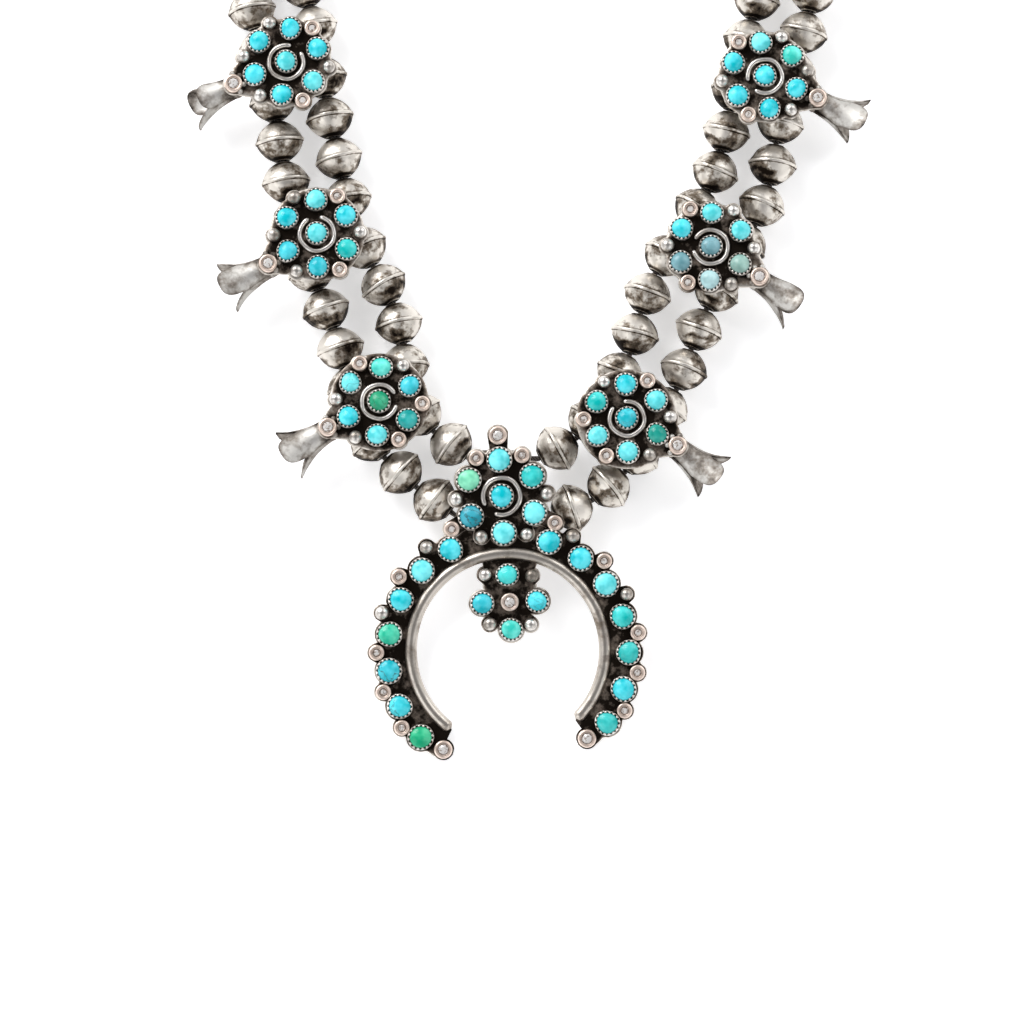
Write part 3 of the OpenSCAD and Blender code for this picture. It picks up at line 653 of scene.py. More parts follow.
# %% Frames
THREAD_Z, PLATE_Z = 5.5, 11.3
BLOSSOMS = ["l1", "l2", "l3", "r1", "r2", "r3"]


def blossom_frame(name):
    stones = np.array([middle(p) for p in islands(f"blossom_{name}_turquoise")])
    centre = stones[np.argmin(np.linalg.norm(stones - stones.mean(0), axis=1))]
    cuts = np.array([middle(p) for p in islands(f"blossom_{name}_diamonds")])
    away = (cuts - centre)[:, :2]
    way = away[np.argmax(np.linalg.norm(away, axis=1))]
    way = way / np.linalg.norm(way)
    hand = -1 if name[0] == "l" else 1
    axes = np.array([[way[0], way[1], 0], [-way[1] * hand, way[0] * hand, 0], [0, 0, 1]])
    return np.array([centre[0], centre[1], PLATE_Z]), axes


blossom_frames = {name: blossom_frame(name) for name in BLOSSOMS}

BAIL_X, BAIL_Y, REACH, BAIL_DEPTH = (-15.5, 5.5), (-91.35, -104.0), 53.5, 3.8
tilt = math.asin(BAIL_DEPTH / math.hypot(REACH, THREAD_Z)) + math.atan2(THREAD_Z, REACH)
foot = RIM - min(i["at"][1] - i["r"] for i in crescent_items)
naja_axes = np.array([[1, 0, 0], [0, math.cos(tilt), math.sin(tilt)], [0, -math.sin(tilt), math.cos(tilt)]])
naja_origin = np.array([sum(BAIL_X) / 2 + 0.9, BAIL_Y[1] - REACH, 0]) + foot * naja_axes[1]
naja_frame = (naja_origin, naja_axes)
print("pendant leans by", round(math.degrees(tilt), 2), "degrees")

found = np.array([middle(p) for p in islands("naja_drop_turquoise")]).mean(0)
wanted = placed(np.append(np.mean([i["at"] for i in drop_items[1:5]], axis=0), 2.2), naja_frame)
print("pendant's frame is off its CAD stones by", np.round(found - wanted, 2), "mm")

# %% [markdown]
# ## Stones
#
# A cabochon is a low dome on a straight side. Stones are ground by hand, so each outline here falls short of
# its circle by up to 0.14 of its radius, more on some sides, and the bezel below is bent to the same outline.
# The colours are named tints from sky blue to green. In each row of STONES a group's middle stone comes first,
# and the crescent's stones run down its left arm and then down its right one.

# %% Colours of the stones
COLOURS = {
    "sky": "2ee0ee",
    "light": "6af0f6",
    "lagoon": "00c6c2",
    "deep": "0cccdc",
    "ocean": "00a4b8",
    "teal": "14d6d2",
    "dark_teal": "00b0ac",
    "forest": "00a898",
    "sea": "56eada",
    "green": "22ae80",
    "spring": "10c48c",
    "mint": "7ee6bc",
    "jade": "3cd6b0",
    "grey": "7aaeb8",
    "grey_green": "9cc4ba",
    "mist": "aed6d8",
}
STONES = {
    "blossom_l1": "light sky sky sky sky light sky",
    "blossom_l2": "light deep sky light sky teal deep",
    "blossom_l3": "green sky light sea deep dark_teal light",
    "blossom_r1": "sky sky sea light sky sky sky",
    "blossom_r2": "grey grey_green light light sky grey mist",
    "blossom_r3": "deep forest light sky teal light light",
    "naja_crown": "sky teal light mint ocean light light",
    "naja_crescent": "sky light sky jade deep sky spring sky sky light teal lagoon sky lagoon",
    "naja_drop": "teal deep sky sea",
}
VEINED = {"naja_crescent": {4: 0.9, 5: 0.6}, "naja_drop": {2: 0.3}, "naja_crown": {4: 0.8}}
VEINED |= {"blossom_l3": {0: 0.5, 2: 0.4}, "blossom_r2": {0: 0.3}, "blossom_r3": {0: 0.3}}


# %% Cabochons
def hand_cut(at, frame_of, angle):
    """A ground stone's radius as a share: 1 - a (1 - cos 2(t - p)) / 2 - b (1 - cos 3(t - q)) / 2."""
    rng = np.random.default_rng(int(abs(frame_of[0][0] * 97 + at[0] * 13 + at[1] * 7) * 10))
    a, b, p, q = rng.uniform(0, 0.08), rng.uniform(0, 0.06), *rng.uniform(0, 6.3, 2)
    return 1 - a * (1 - np.cos(2 * (angle - p))) / 2 - b * (1 - np.cos(3 * (angle - q))) / 2


def cabochon(radius, at, frame_of, rng):
    """Rings from the middle of the bottom, up the side and over the dome, to the top."""
    angle = np.linspace(0, 2 * np.pi, 32, endpoint=False)
    dome = np.linspace(1, 0, 9)
    share = np.r_[0, 0.7, 0.97, 1, 1, 0.985, dome[1:-1], 0]
    bend = 1 - np.abs(dome[1:-1]) ** 2.3
    height = np.r_[1.02, 1.02, 1.02, 1.1, 2.2, 2.42, 2.42 + 0.98 * bend, 3.4]
    ring = hand_cut(at, frame_of, angle)[:, None] * share[None, :] * radius
    lean = rng.normal(0, 0.035, 2)
    x, y = ring * np.cos(angle)[:, None], ring * np.sin(angle)[:, None]
    z = height[None, :] + smoothstep(2.2, 3.0, height)[None, :] * (lean[0] * x + lean[1] * y)
    # Painted shade: the stone's bottom and side inside the bezel, and the edge of its dome, are darkened in
    # colour.
    shade = np.r_[0.1, 0.1, 0.1, 0.1, 0.15, 0.4, 1.0, np.ones(7)]
    return np.stack([x, y, z], -1), shade[None, :, None]


def set_stones(group, items, frame_of, seed):
    rng = np.random.default_rng(seed)
    surfaces = Surfaces()
    names = STONES[group].split()
    stones = [i for i in items if "stone" in i["kind"]]
    for k, stone in enumerate(stones):
        radius = NAJA_STONE_R if stone["kind"] == "naja_stone" else STONE_R
        points, shade = cabochon(radius, stone["at"], frame_of, rng)
        points = placed(points + np.append(stone["at"], 0), frame_of)
        surfaces.add(points, tint=linear(COLOURS[names[k]]) * shade, dark=VEINED.get(group, {}).get(k, 0.04))
    thing = surfaces.piece(group + "_stones", [TURQUOISE])
    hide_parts(group + "_turquoise")


for seed, name in enumerate(BLOSSOMS):
    set_stones("blossom_" + name, blossom_items(int(name[1])), blossom_frames[name], seed)
set_stones("naja_crown", crown_items, naja_frame, 11)
set_stones("naja_crescent", crescent_items, naja_frame, 12)
set_stones("naja_drop", drop_items, naja_frame, 13)

# %% [markdown]
# ## Settings
#
# A saw-toothed bezel is a strip with a row of teeth, bent round the stone and pressed over its edge. The wall
# is a profile carried round a circle, in which a square wave, softened at its edges, raises the rim and leans
# it inward where a tooth is. The low places between teeth are painted black: partly patina, partly painted
# shade of the gaps between the teeth.

# %% Bezels, tubes, balls and wire
TEETH, PER_TOOTH = 16, 6


def bezel(radius, at, frame_of, rng):
    around = TEETH * PER_TOOTH
    angle = np.linspace(0, 2 * np.pi, around, endpoint=False)
    tooth = np.array([0, 0.55, 1, 1, 0.55, 0])[np.arange(around) % PER_TOOTH]
    tooth = (tooth * np.repeat(rng.uniform(0.75, 1.1, TEETH), PER_TOOTH))[:, None]
    low, high = PLATE_T + 1.3, PLATE_T + BEZEL_H + 0.14
    top = low + (high - low) * tooth
    cut = hand_cut(at, frame_of, angle)[:, None] * (radius - 0.36) + 0.36
    rings = [
        (cut, 0.8, 0.9),
        (cut, PLATE_T + 0.35, 0.55),
        (cut + 0.03, low - 0.25, 0.12),
        (cut - 0.02, low, 0.0),
        (cut - 0.1 - 0.04 * tooth, top - 0.04, 0.0),
        (cut - 0.2 - 0.2 * tooth, top + 0.03, 0.0),
        (cut - 0.31 - 0.26 * tooth, top - 0.03, 0.1),
        (cut - 0.34 - 0.1 * tooth, top - 0.25, 0.9),
        (cut - 0.36, 1.0, 1.0),
    ]
    r = np.concatenate([ring[0] for ring in rings], 1)
    z = np.concatenate([ring[1] + 0 * tooth for ring in rings], 1)
    # Low places between teeth are painted black: patina, and painted shade of the gaps.
    notch_patina_and_shade = (1 - np.minimum(tooth * 1.3, 1)) * np.array([0, 0, 0, 0.1, 0.6, 1, 1.2, 1, 1])
    dark = np.array([ring[2] for ring in rings])[None, :] + notch_patina_and_shade
    return about_z(r, angle[:, None], z), np.minimum(dark, 1.1)


def tube(kind):
    """Profile of a tube setting: up the wall, over a round rim, and down to the seat of the cut stone."""
    out, seat, top = TUBE_R[kind], CUT_R[kind], PLATE_T + TUBE_H
    wide = out - seat
    profile = [
        (0, 0.8), (out, 0.8), (out, top - 0.5), (out - 0.05, top - 0.2), (out - 0.25 * wide, top - 0.03),
        (out - 0.45 * wide, top), (out - 0.58 * wide, top - 0.02), (out - 0.66 * wide, top - 0.1),
        (out - 0.76 * wide, top - 0.03), (seat + 0.1, top - 0.12), (seat + 0.05, top - 0.4),
        (seat + 0.05, PLATE_T + 0.1), (0, PLATE_T + 0.1),
    ]
    dark = np.array([1, 0.8, 0.12, 0, 0, 0, 0.1, 0.75, 0.05, 0.1, 0.5, 0.3, 0.1])
    return turned(profile, 36), dark


def ball(rng):
    """A grain of silver, melted to a bead: a sphere, a little flattened, with a soft wave in its side."""
    height = np.linspace(-np.pi / 2, np.pi / 2, 13)[None, :]
    angle = np.linspace(0, 2 * np.pi, 22, endpoint=False)[:, None]
    size = BALL_R * rng.uniform(0.92, 1)
    radius = size * (0.98 + 0.02 * np.cos(2 * angle + rng.uniform(0, 6)) * np.cos(height))
    z = PLATE_T + BALL_R / 2 + size * 0.95 * np.sin(height) + 0 * angle
    points = about_z(radius * np.cos(height), angle, z)
    return points, 0.9 * smoothstep(PLATE_T + 0.7, PLATE_T - 0.1, z) + rng.uniform(0, 0.4)


RING_SWEEP = 326


def wire_ring(bezel_radius, opening, rng):
    """Round wire bent to an open circle. Its radius of section falls to nothing at the two ends."""
    share = np.linspace(0, 1, 92)
    angle = np.radians(opening + (360 - RING_SWEEP) / 2 + RING_SWEEP * share)
    way = ring_radius(bezel_radius) + 0.06 * np.sin(5 * angle + rng.uniform(0, 6)) * np.sin(np.pi * share)
    end = np.minimum(share, 1 - share) * np.radians(RING_SWEEP) * way / (1.6 * WIRE_R)
    thick = WIRE_R * np.sqrt(1 - (1 - np.clip(end, 0, 1)) ** 2)
    turn = np.linspace(0, 2 * np.pi, 10, endpoint=False)[:, None]
    r = way + thick * np.cos(turn)
    z = PLATE_T + WIRE_R / 2 + thick * np.sin(turn)
    return about_z(r, angle, z), smoothstep(PLATE_T + 0.5, PLATE_T, z)


def add_settings(surfaces, items, frame_of, rng):
    """Puts everything that stands on a plate into one piece. Kinds: 1 is bright silver, 2 the warm tubes."""
    for spot in items:
        at = np.append(spot["at"], 0)
        if spot["kind"] == "ball":
            surfaces.put(ball(rng), frame_of, at, kind=1)
        elif "stone" in spot["kind"]:
            wall = bezel(spot["r"], spot["at"], frame_of, rng)
            surfaces.put(wall, frame_of, at, wrap_columns=True, kind=1)
        else:
            surfaces.put(tube(spot["kind"]), frame_of, at, kind=2)


# %% [markdown]
# ## Plates
#
# The plate under the settings is cut close round them, so its edge is a row of small arcs. Seen from the
# middle, the edge in each direction is the furthest point of any of those circles: r = s + sqrt(R^2 - d^2),
# where s is how far the circle's centre lies along the ray and d how far beside it.


# %% Plate outlines
def ray_reach(angle, circles):
    """Nearest and furthest point of some circles along rays from the origin, or none."""
    ray = np.stack([np.cos(angle), np.sin(angle)], -1)
    near, far = np.full(len(angle), np.inf), np.full(len(angle), -np.inf)
    for x, y, radius in circles:
        s = ray @ (x, y)
        d2 = x * x + y * y - s * s
        hit = (d2 < radius * radius) & (s + radius > 0)
        half = np.sqrt(np.maximum(radius * radius - d2, 0))
        far = np.where(hit, np.maximum(far, s + half), far)
        near = np.where(hit, np.minimum(near, s - half), near)
    return near, far


def slab(outline, height):
    """A plate from an outline (rows, 2) about the origin: top, rounded edge and bottom, as rings."""
    share = np.array([0, 0.3, 0.55, 0.75, 0.88, 0.95])
    length = np.linalg.norm(outline, axis=1, keepdims=True)
    inset = np.array([0.34, 0.16, 0.03, 0.0, 0.03, 0.2])
    edge = 1 - inset[None, :] / length
    rings = np.concatenate([np.broadcast_to(share * edge[:, :1], (len(outline), 6)), edge, 0 * edge[:, :1]], 1)
    z = np.array([height] * 6 + [height, height - 0.07, height - 0.25, height / 2, 0.2, 0, 0])
    xy = outline[:, None, :] * rings[..., None]
    rough = 0.03 * np.sin(1.9 * xy[..., 0] + 1.3 * np.cos(1.7 * xy[..., 1])) * (z == height)
    dark = np.array([0.94] * 5 + [0.65, 0.25, 0.05, 0.0, 0.15, 0.3, 0.45, 0.45])
    return np.concatenate([xy, (z + rough)[..., None]], -1), np.broadcast_to(dark, rings.shape)


def round_plate(items, centre, disc, extra=(), height=PLATE_T):
    angle = np.linspace(0, 2 * np.pi, 300, endpoint=False)
    circles = [(*(i["at"] - centre), i["r"] + RIM) for i in items] + [(0, 0, disc), *extra]
    reach = ray_reach(angle, circles)[1]
    points, dark = slab(np.stack([reach * np.cos(angle), reach * np.sin(angle)], -1), height)
    return points + np.append(centre, 0), dark


# %% [markdown]
# ## Blossoms
#
# The flower is a short tube that parts into three petals and flares. Each petal is a piece of one surface of
# revolution: its radius grows along the axis as a circular arc, and its width is a third of the way round until
# it reaches the width of the strip, which ends in a squarish round, (1 - u^n)^(1/n). Rows go round the petal's
# section, over the outside and back under.

# %% Petals, stem and lugs
PETAL_LEN, ROOT_R, TIP_R, PETAL_T = 10.8, 2.6, 6.35, 0.7
TIP_W, DROOP, STEM, SQUARE = 6.1, math.radians(12), 2.2, 2.9
STEM_PROFILE = [
    (0, -STEM), (1.2, -STEM + 0.05), (2.1, -STEM + 0.4), (2.6, -STEM + 1), (2.62, -0.9), (2.7, -0.3),
    (2.7, 0.2), (2.5, 0.35), (0, 0.35),
]


def petal(turn, opened, share, rng):
    flare = (TIP_R - ROOT_R) * opened
    arc = (PETAL_LEN**2 + flare**2) / (2 * flare)
    straight = PETAL_LEN * share - TIP_W / 2
    a = np.r_[np.linspace(0, straight, 10), straight + TIP_W / 2 * np.sin(np.linspace(0, np.pi / 2, 11)[1:])]
    outside = ROOT_R + arc - np.sqrt(arc**2 - a**2)
    beyond_straight = np.clip((a - straight) / (TIP_W / 2), 0, 1)
    half = TIP_W / 2 * (1 - beyond_straight**SQUARE) ** (1 / SQUARE)
    half = np.maximum(np.minimum(half, 0.857 * outside), 0.001)
    side = np.linspace(-1, 1, 15)
    thick = PETAL_T * (0.75 + 0.25 * (1 - side**2) ** 0.5)
    across = np.r_[side, side[::-1]][:, None]
    depth = np.r_[0 * thick, thick * (1 - 0.25 * side**2)][:, None]
    radius = outside[None, :] - depth * (0.85 + 0.15 * smoothstep(0, 1.0, half))[None, :]
    psi = np.arcsin(np.clip(across * half[None, :] / outside[None, :], -0.98, 0.98))
    bend = 0.1 * np.sin(a * 0.9 + rng.uniform(0, 6)) * (a / PETAL_LEN) * np.cos(across * 2 + rng.uniform(0, 6))
    w, h = radius * np.sin(psi), radius * np.cos(psi) + bend
    c, s = math.cos(math.radians(turn)), math.sin(math.radians(turn))
    points = np.stack([a + 0 * w, w * c - h * s, w * s + h * c], -1)
    outer_face = np.arange(len(across))[:, None] < len(side)
    dark = np.where(outer_face, 0.5 * np.exp(-((a - 1.2) ** 2) / 1.5)[None, :], 0.75 - 0.05 * a[None, :])
    dark = dark + 0.3 * smoothstep(0.8, 1, np.abs(across)) + 0.35 * smoothstep(a[-1] - 0.9, a[-1], a)[None, :]
    points, dark = (np.concatenate([v[:, :1], v, v[:, -1:]], 1) for v in (points, dark))
    points[:, [0, -1]] = points[:, [0, -1]].mean(0)
    return points, dark + 0.1


def lug_box(width, thick, low, high):
    """An upright strap with round edges: a rounded rectangle, carried up."""
    turn = np.linspace(0, 2 * np.pi, 24, endpoint=False)[:, None]
    power = 0.35
    x = thick / 2 * np.sign(np.cos(turn)) * np.abs(np.cos(turn)) ** power
    y = width / 2 * np.sign(np.sin(turn)) * np.abs(np.sin(turn)) ** power
    z = np.array([low, low, high, high])[None, :]
    size = np.array([0, 1, 1, 0])[None, :]
    return np.stack([x * size, y * size, z + 0 * x], -1)


def eyelet(outer, inner, length):
    """A drilled disc or tube about X: its section is a rectangle with round corners."""
    half = length / 2
    soft = 0.15
    profile = [(inner, -half + soft), (inner + soft, -half), (outer - soft, -half), (outer, -half + soft),
               (outer, half - soft), (outer - soft, half), (inner + soft, half), (inner, half - soft)]
    points = turned(profile, 32)
    return points[..., [2, 0, 1]]


def lugs_of(name):
    """Where a blossom's two lugs stand: its lowest metal, near the wide gaps of its two strands."""
    side = "left" if name[0] == "l" else "right"
    centre = blossom_frames[name][0][:2]
    metal = np.concatenate(islands("blossom_" + name))
    low = metal[metal[:, 2] < THREAD_Z - 1.9, :2]
    found = []
    for strand in ("inner", "outer"):
        places = beads[f"{strand}_beads_{side}"][0][:, :2]
        step = places[1:] - places[:-1]
        wide = np.linalg.norm(step, axis=1)
        spots = (places[1:] + places[:-1]) / 2
        wide_ones = np.argsort(wide)[-3:]
        best = min(wide_ones, key=lambda k: np.linalg.norm(spots[k] - centre))
        near = low[np.linalg.norm(low - spots[best], axis=1) < 3.2]
        found.append(((near.min(0) + near.max(0)) / 2, step[best] / wide[best]))
    return found


# Bearing on the table of the gap in a blossom's wire ring, in degrees
OPENINGS = {"l1": 55, "l2": 100, "l3": 8, "r1": 215, "r2": 172, "r3": 120}
# How far a flower is bent beside its plate, in degrees, and for each of its petals where it stands round the
# flower, in degrees, and how far it is opened and how long it is, as shares
FLOWERS = {
    "l1": (-1, [(0, 1, 0.72), (98, 0.85, 1), (196, 0.4, 1.06)]),
    "l2": (-7, [(0, 1, 1), (103, 0.88, 1), (240, 1, 1)]),
    "l3": (4, [(0, 1, 1), (108, 0.93, 1), (240, 1, 1)]),
    "r1": (4, [(0, 1, 1), (131, 0.7, 1), (255, 1, 1)]),
    "r2": (1, [(0, 1, 0.92), (112, 0.95, 1), (196, 0.5, 1.06)]),
    "r3": (10, [(0, 1, 1), (129, 0.82, 1), (252, 1, 1)]),
}
# Radius of the disc between a blossom's settings
DISCS = {"l1": 10.0, "l2": 10.5, "l3": 10.9, "r1": 10.3, "r2": 10.0, "r3": 11.1}


def make_blossom(name, seed):
    rng = np.random.default_rng(seed)
    number, place = int(name[1]), blossom_frames[name]
    items = blossom_items(number)
    surfaces = Surfaces()
    stem_x = beyond(BEZEL_R, L)
    web = [(x, 0, 2.2 + 0.55 * (stem_x - x)) for x in np.arange(7, stem_x, 0.4)]
    surfaces.put(round_plate(items, np.zeros(2), DISCS[name], web), place)
    add_settings(surfaces, items, place, rng)
    hand = -1 if name[0] == "l" else 1
    stem_way = math.degrees(math.atan2(place[1][0, 1], place[1][0, 0]))
    surfaces.put(wire_ring(BEZEL_R, hand * (OPENINGS[name] - stem_way), rng), place, kind=1)
    bend = math.radians(FLOWERS[name][0])
    droop = [[math.cos(DROOP), 0, -math.sin(DROOP)], [0, 1, 0], [math.sin(DROOP), 0, math.cos(DROOP)]]
    beside = [[math.cos(bend), -math.sin(bend), 0], [math.sin(bend), math.cos(bend), 0], [0, 0, 1]]
    lower = np.array(droop) @ np.array(beside)
    base = np.array([stem_x, 0, 0.5 - ROOT_R])
    for turn, opened, share in FLOWERS[name][1]:
        points, dark = petal(turn, opened, share, rng)
        surfaces.add(placed(base + points @ lower, place), kind=3, dark=dark)
    stem = turned(STEM_PROFILE, 32)[..., [2, 0, 1]]
    surfaces.put((base + stem @ lower, 0.35), place, kind=3)
    for angle in (105, 150, 205, 252):
        lump = ball(rng)[0] * [0.42, 0.42, 0.5] + [*polar(TUBE_R["large"] + 0.25, angle), 0.45]
        surfaces.add(placed(lump + [stem_x, 0, 0], place), kind=3, dark=rng.uniform(0.1, 0.6))
    for spot, way in lugs_of(name):
        axes = np.array([[way[0], way[1], 0], [-way[1], way[0], 0], [0, 0, 1]])
        at = (np.array([spot[0], spot[1], THREAD_Z]), axes)
        surfaces.put((eyelet(2.1, 1.0, 1.4), 0.4), at, wrap_columns=True, kind=3)
        surfaces.put((lug_box(3.6, 1.3, 1.6, PLATE_Z - THREAD_Z + 0.3), 0.4), at, kind=3)
    thing = surfaces.piece(f"blossom_{name}_silver", [PLATE_SILVER, BRIGHT_SILVER, TUBE_SILVER, PETAL_SILVER])
    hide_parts("blossom_" + name)


for seed, name in enumerate(BLOSSOMS):
    make_blossom(name, 70 + seed)

# %% [markdown]
# ## The pendant
#
# Its crown and drop are plates like those of the blossoms. The crescent is a band, so its outline is worked
# out by rays from the middle of the circle: the inner edge follows the half-round rim wire, and the outer
# edge follows the settings. Past the band's end only the last setting's circle is left, and the tip is round.


# %% Crescent band and rim
def crescent_band():
    circles = [(*i["at"], i["r"] + RIM) for i in crescent_items]
    reach = math.degrees(math.asin((TUBE_R["large"] + RIM) / (arm_r + 2 * WIDENING)))
    sweep = np.linspace(-TIP_BEARING - reach, TIP_BEARING + reach, 361)
    angle = np.radians(90 + TURN + sweep)
    near, far = ray_reach(angle, circles)
    within = np.abs(sweep) < HALF_SWEEP
    low = np.where(within, RIM_R, near)
    high = np.where(within, np.maximum(far, RIM_R + BAND_W), far)
    empty = ~np.isfinite(low) | ~np.isfinite(high)
    low[empty] = high[empty] = arm_r + 2 * WIDENING
    low[[0, -1]] = high[[0, -1]] = arm_r + 2 * WIDENING
    share = np.array([0.0, 0.02, 0.3, 0.6, 0.9, 0.965, 0.99, 1.0, 0.99, 0.6, 0.3, 0.02])
    z = np.array([0.6, 0.9, 0.9, 0.9, 0.9, 0.9, 0.8, 0.45, 0.05, 0, 0, 0])
    r = low[:, None] + (high - low)[:, None] * share
    dark = np.array([0.4, 0.9, 0.93, 0.93, 0.93, 0.75, 0.05, 0, 0.2, 0.45, 0.45, 0.45])
    z = z + 0 * r
    z[[0, -1]] = PLATE_T / 2
    return about_z(r, angle[:, None], z), np.broadcast_to(dark, r.shape)


def rim_wire(rng):
    """Half-round wire: the upper part of a circle of section, carried along the inner edge."""
    share = np.linspace(0, 1, 180)
    angle = np.radians(90 + TURN - HALF_SWEEP + 1 + share * (2 * HALF_SWEEP - 2))
    end = np.minimum(share, 1 - share) * 2 * np.radians(HALF_SWEEP) * RIM_R / 1.2
    full = np.sqrt(1 - (1 - np.clip(end, 0, 1)) ** 2)
    turn = np.radians(np.linspace(-23.6, 203.6, 15))[:, None]
    wave = 1 + 0.02 * np.sin(23 * angle + rng.uniform(0, 6)) + 0.015 * np.sin(41 * angle)
    r = RIM_R + RIM_WIRE_R * np.cos(turn) * full
    z = 0.54 + (RIM_WIRE_R * np.sin(turn) * wave) * full
    z = np.maximum(z, 0.0)
    return about_z(r, angle, z), smoothstep(0.9, 0.2, z) * 0.8 + 0 * r


def make_naja():
    rng = np.random.default_rng(90)
    surfaces = Surfaces()
    surfaces.put(crescent_band(), naja_frame, wrap_rows=False, wrap_columns=True)
    surfaces.put(rim_wire(rng), naja_frame, kind=4)
    disc = stones_radius(NAJA_BEZEL_R) + NAJA_BEZEL_R / 2
    surfaces.put(round_plate(crown_items, CROWN, disc, height=PLATE_T + 0.05), naja_frame)
    neck = [(x, y, 1.2) for x in (-4.8, -2.4, 0, 2.4, 4.8) for y in (3.5, 6, 8.5, 10.9)]
    surfaces.put(round_plate(drop_items, DROP, 6.0, neck, PLATE_T - 0.05), naja_frame)
    add_settings(surfaces, naja_items, naja_frame, rng)
    surfaces.put(wire_ring(NAJA_BEZEL_R, CROWN_OPENING, rng), naja_frame, np.append(CROWN, 0), kind=1)
    for (left, right), y in (((-12.5, 2.5), BAIL_Y[0]), (BAIL_X, BAIL_Y[1])):
        back = y - (BAIL_Y[1] - REACH)
        depth = back * math.sin(tilt) - THREAD_Z * math.cos(tilt)
        rise = back * math.cos(tilt) + THREAD_Z * math.sin(tilt) - foot
        at = np.array([(left + right) / 2 - (sum(BAIL_X) / 2 + 0.9), rise, -depth])
        bail = eyelet(1.9, 1.0, right - left - 4)
        surfaces.put((bail, 0.4), naja_frame, at, wrap_columns=True, kind=3)
        web = lug_box(1.9, right - left - 7.6, 1.2, depth + 0.4)
        surfaces.put((web, 0.4), naja_frame, at, kind=3)
    thing = surfaces.piece("naja_silver", [PLATE_SILVER, BRIGHT_SILVER, TUBE_SILVER, PETAL_SILVER, RIM_SILVER])
    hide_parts("naja")


make_naja()

# %% [markdown]
# ## Clasp
#
# The photograph hides what is behind the neck, so the clasp is one plain plate with clipped corners. It is a
# stack of rings of one outline: each ring is the outline drawn in by the roundness of the edge at its height.
# It isn't drilled, unlike the CAD clasp, so the ends of both threads stand in its metal, out of sight.

# %% Clasp
def make_clasp():
    low, high = (np.array(corner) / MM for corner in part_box("clasp"))
    centre, half = (low + high) / 2, (high - low) / 2
    clip, soft = 3.0, 0.6
    corner = np.array([[1, 1 - clip / half[1]], [1 - clip / half[0], 1]])
    outline = np.concatenate([corner, corner[::-1] * [-1, 1], -corner, corner[::-1] * [1, -1]])
    share = np.linspace(0, 8, 64, endpoint=False)
    before = share.astype(int)
    part = (share - before)[:, None]
    outline = (outline[before] * (1 - part) + outline[(before + 1) % 8] * part) * half[:2]
    turn = np.linspace(0, np.pi / 2, 5)
    rise, run, top = soft * np.sin(turn), soft * (1 - np.cos(turn)), 2 * half[2]
    inset = np.r_[half[0], half[0] / 2, soft - rise, run, half[0] / 2, half[0]]
    height = np.r_[0, 0, run, top - soft + rise, top, top]
    size = 1 - inset[None, :] / half[0]
    z = height[None, :] + 0 * outline[:, :1]
    xy = outline[:, None, :] * np.broadcast_to(size, z.shape)[..., None]
    points = np.concatenate([xy, z[..., None]], -1) + [centre[0], centre[1], low[2]]
    dark = 0.4 + 0.25 * np.cos(xy[..., 0] * 0.9) * np.cos(xy[..., 1] * 0.5)
    surfaces = Surfaces()
    surfaces.add(points, dark=dark)
    thing = surfaces.piece("clasp_silver", [PETAL_SILVER])
    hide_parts("clasp")


make_clasp()

# %% [markdown]
# ## Table, light and camera
#
# The picture was taken from almost straight above: the seams of the beads bow a little towards its top, which
# means that the camera leaned back by about nine degrees. A long lens far away keeps the strands parallel. The
# table is a white sheet lit a little from below, which keeps the shadows pale, and the light comes from wide,
# soft panels, much the brightest from the upper left.

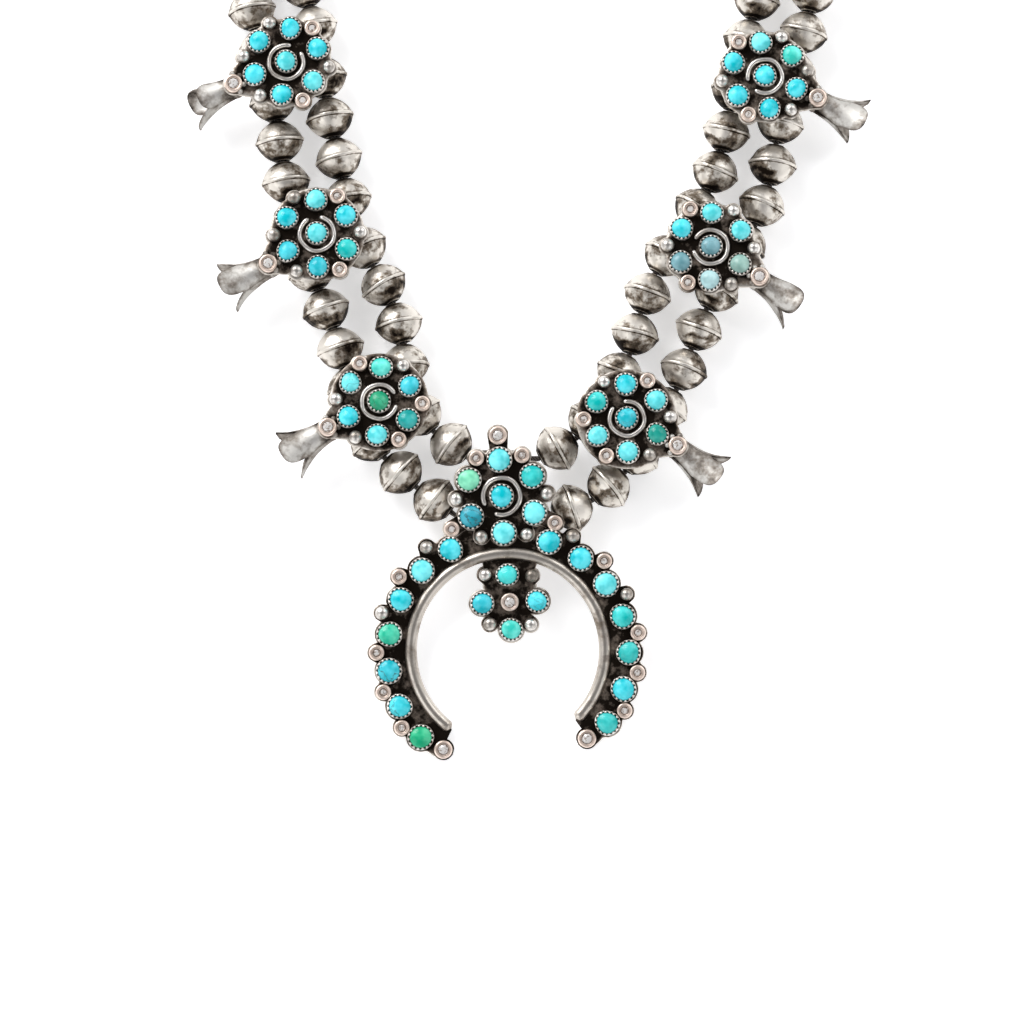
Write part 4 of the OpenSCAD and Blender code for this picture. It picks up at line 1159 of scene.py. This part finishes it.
# %% Table
FLOOR = 3.0
reach = np.linspace(-FLOOR, FLOOR, 3)
table_x, table_y = np.meshgrid(reach, reach, indexing="ij")
table_mesh = bpy.data.meshes.new("table_top")
table_points = np.stack([table_x, table_y, 0 * table_x - 0.00005], -1).reshape(-1, 3)
table_mesh.from_pydata(table_points.tolist(), [], cells(3, 3, False, False).tolist())
table = into_scene("table_top", table_mesh)
paper = Recipe("white_paper")
paper.shader.inputs["Base Color"].default_value = (0.93, 0.93, 0.935, 1)
paper.shader.inputs["Roughness"].default_value = 0.8
paper.shader.inputs["Emission Color"].default_value = (1, 1, 1, 1)
paper.shader.inputs["Emission Strength"].default_value = 0.52
table_mesh.materials.append(paper.material)

# %% Camera
WIDTH_MM = 225.3
TARGET = np.array([-3.2, -103.17, 5.3]) * MM
LEAN = math.radians(9)
DISTANCE = 1.6
camera_data = bpy.data.cameras.new("camera")
camera_data.sensor_width = 36
camera_data.lens = 36 * DISTANCE / (WIDTH_MM * MM)
camera_data.clip_end = 20
camera = into_scene("camera", camera_data)
camera.location = TARGET + DISTANCE * np.array([0, -math.sin(LEAN), math.cos(LEAN)])
camera.rotation_euler = (LEAN, 0, 0)
bpy.context.scene.camera = camera
print("lens", round(camera_data.lens, 1), "mm")


# %% Light
def softbox(name, place, power, size):
    """A square panel of light that faces the necklace."""
    light = bpy.data.lights.new(name, "AREA")
    light.energy, light.size = power, size
    lamp = into_scene(name, light)
    lamp.location = place
    way = np.array([0, -0.06, 0]) - np.array(place)
    lamp.rotation_euler = Vector(way).to_track_quat("-Z", "Y").to_euler()


softbox("key_upper_left", (-1.0, 1.05, 1.1), 26, 1.1)
softbox("fill_upper_right", (1.15, 0.9, 1.1), 9, 1.2)
softbox("fill_lower_left", (-1.1, -1.0, 1.0), 6, 1.2)
softbox("fill_lower_right", (1.1, -1.05, 1.0), 4, 1.2)

# %% Studio round the table
world = bpy.data.worlds.new("studio")
bpy.context.scene.world = world
world.use_nodes = True
nodes, links = world.node_tree.nodes, world.node_tree.links
place = nodes.new("ShaderNodeTexCoord")
split = nodes.new("ShaderNodeSeparateXYZ")
shade = nodes.new("ShaderNodeValToRGB")
set_stops(shade, [
    (0.0, (0.75, 0.75, 0.76)), (0.55, (0.5, 0.51, 0.53)), (0.8, (0.22, 0.22, 0.23)), (1.0, (0.15, 0.15, 0.16)),
])
links.new(place.outputs["Generated"], split.inputs["Vector"])
links.new(split.outputs["Z"], shade.inputs["Fac"])
links.new(shade.outputs["Color"], nodes["Background"].inputs["Color"])
bpy.context.scene.view_settings.view_transform = "Standard"
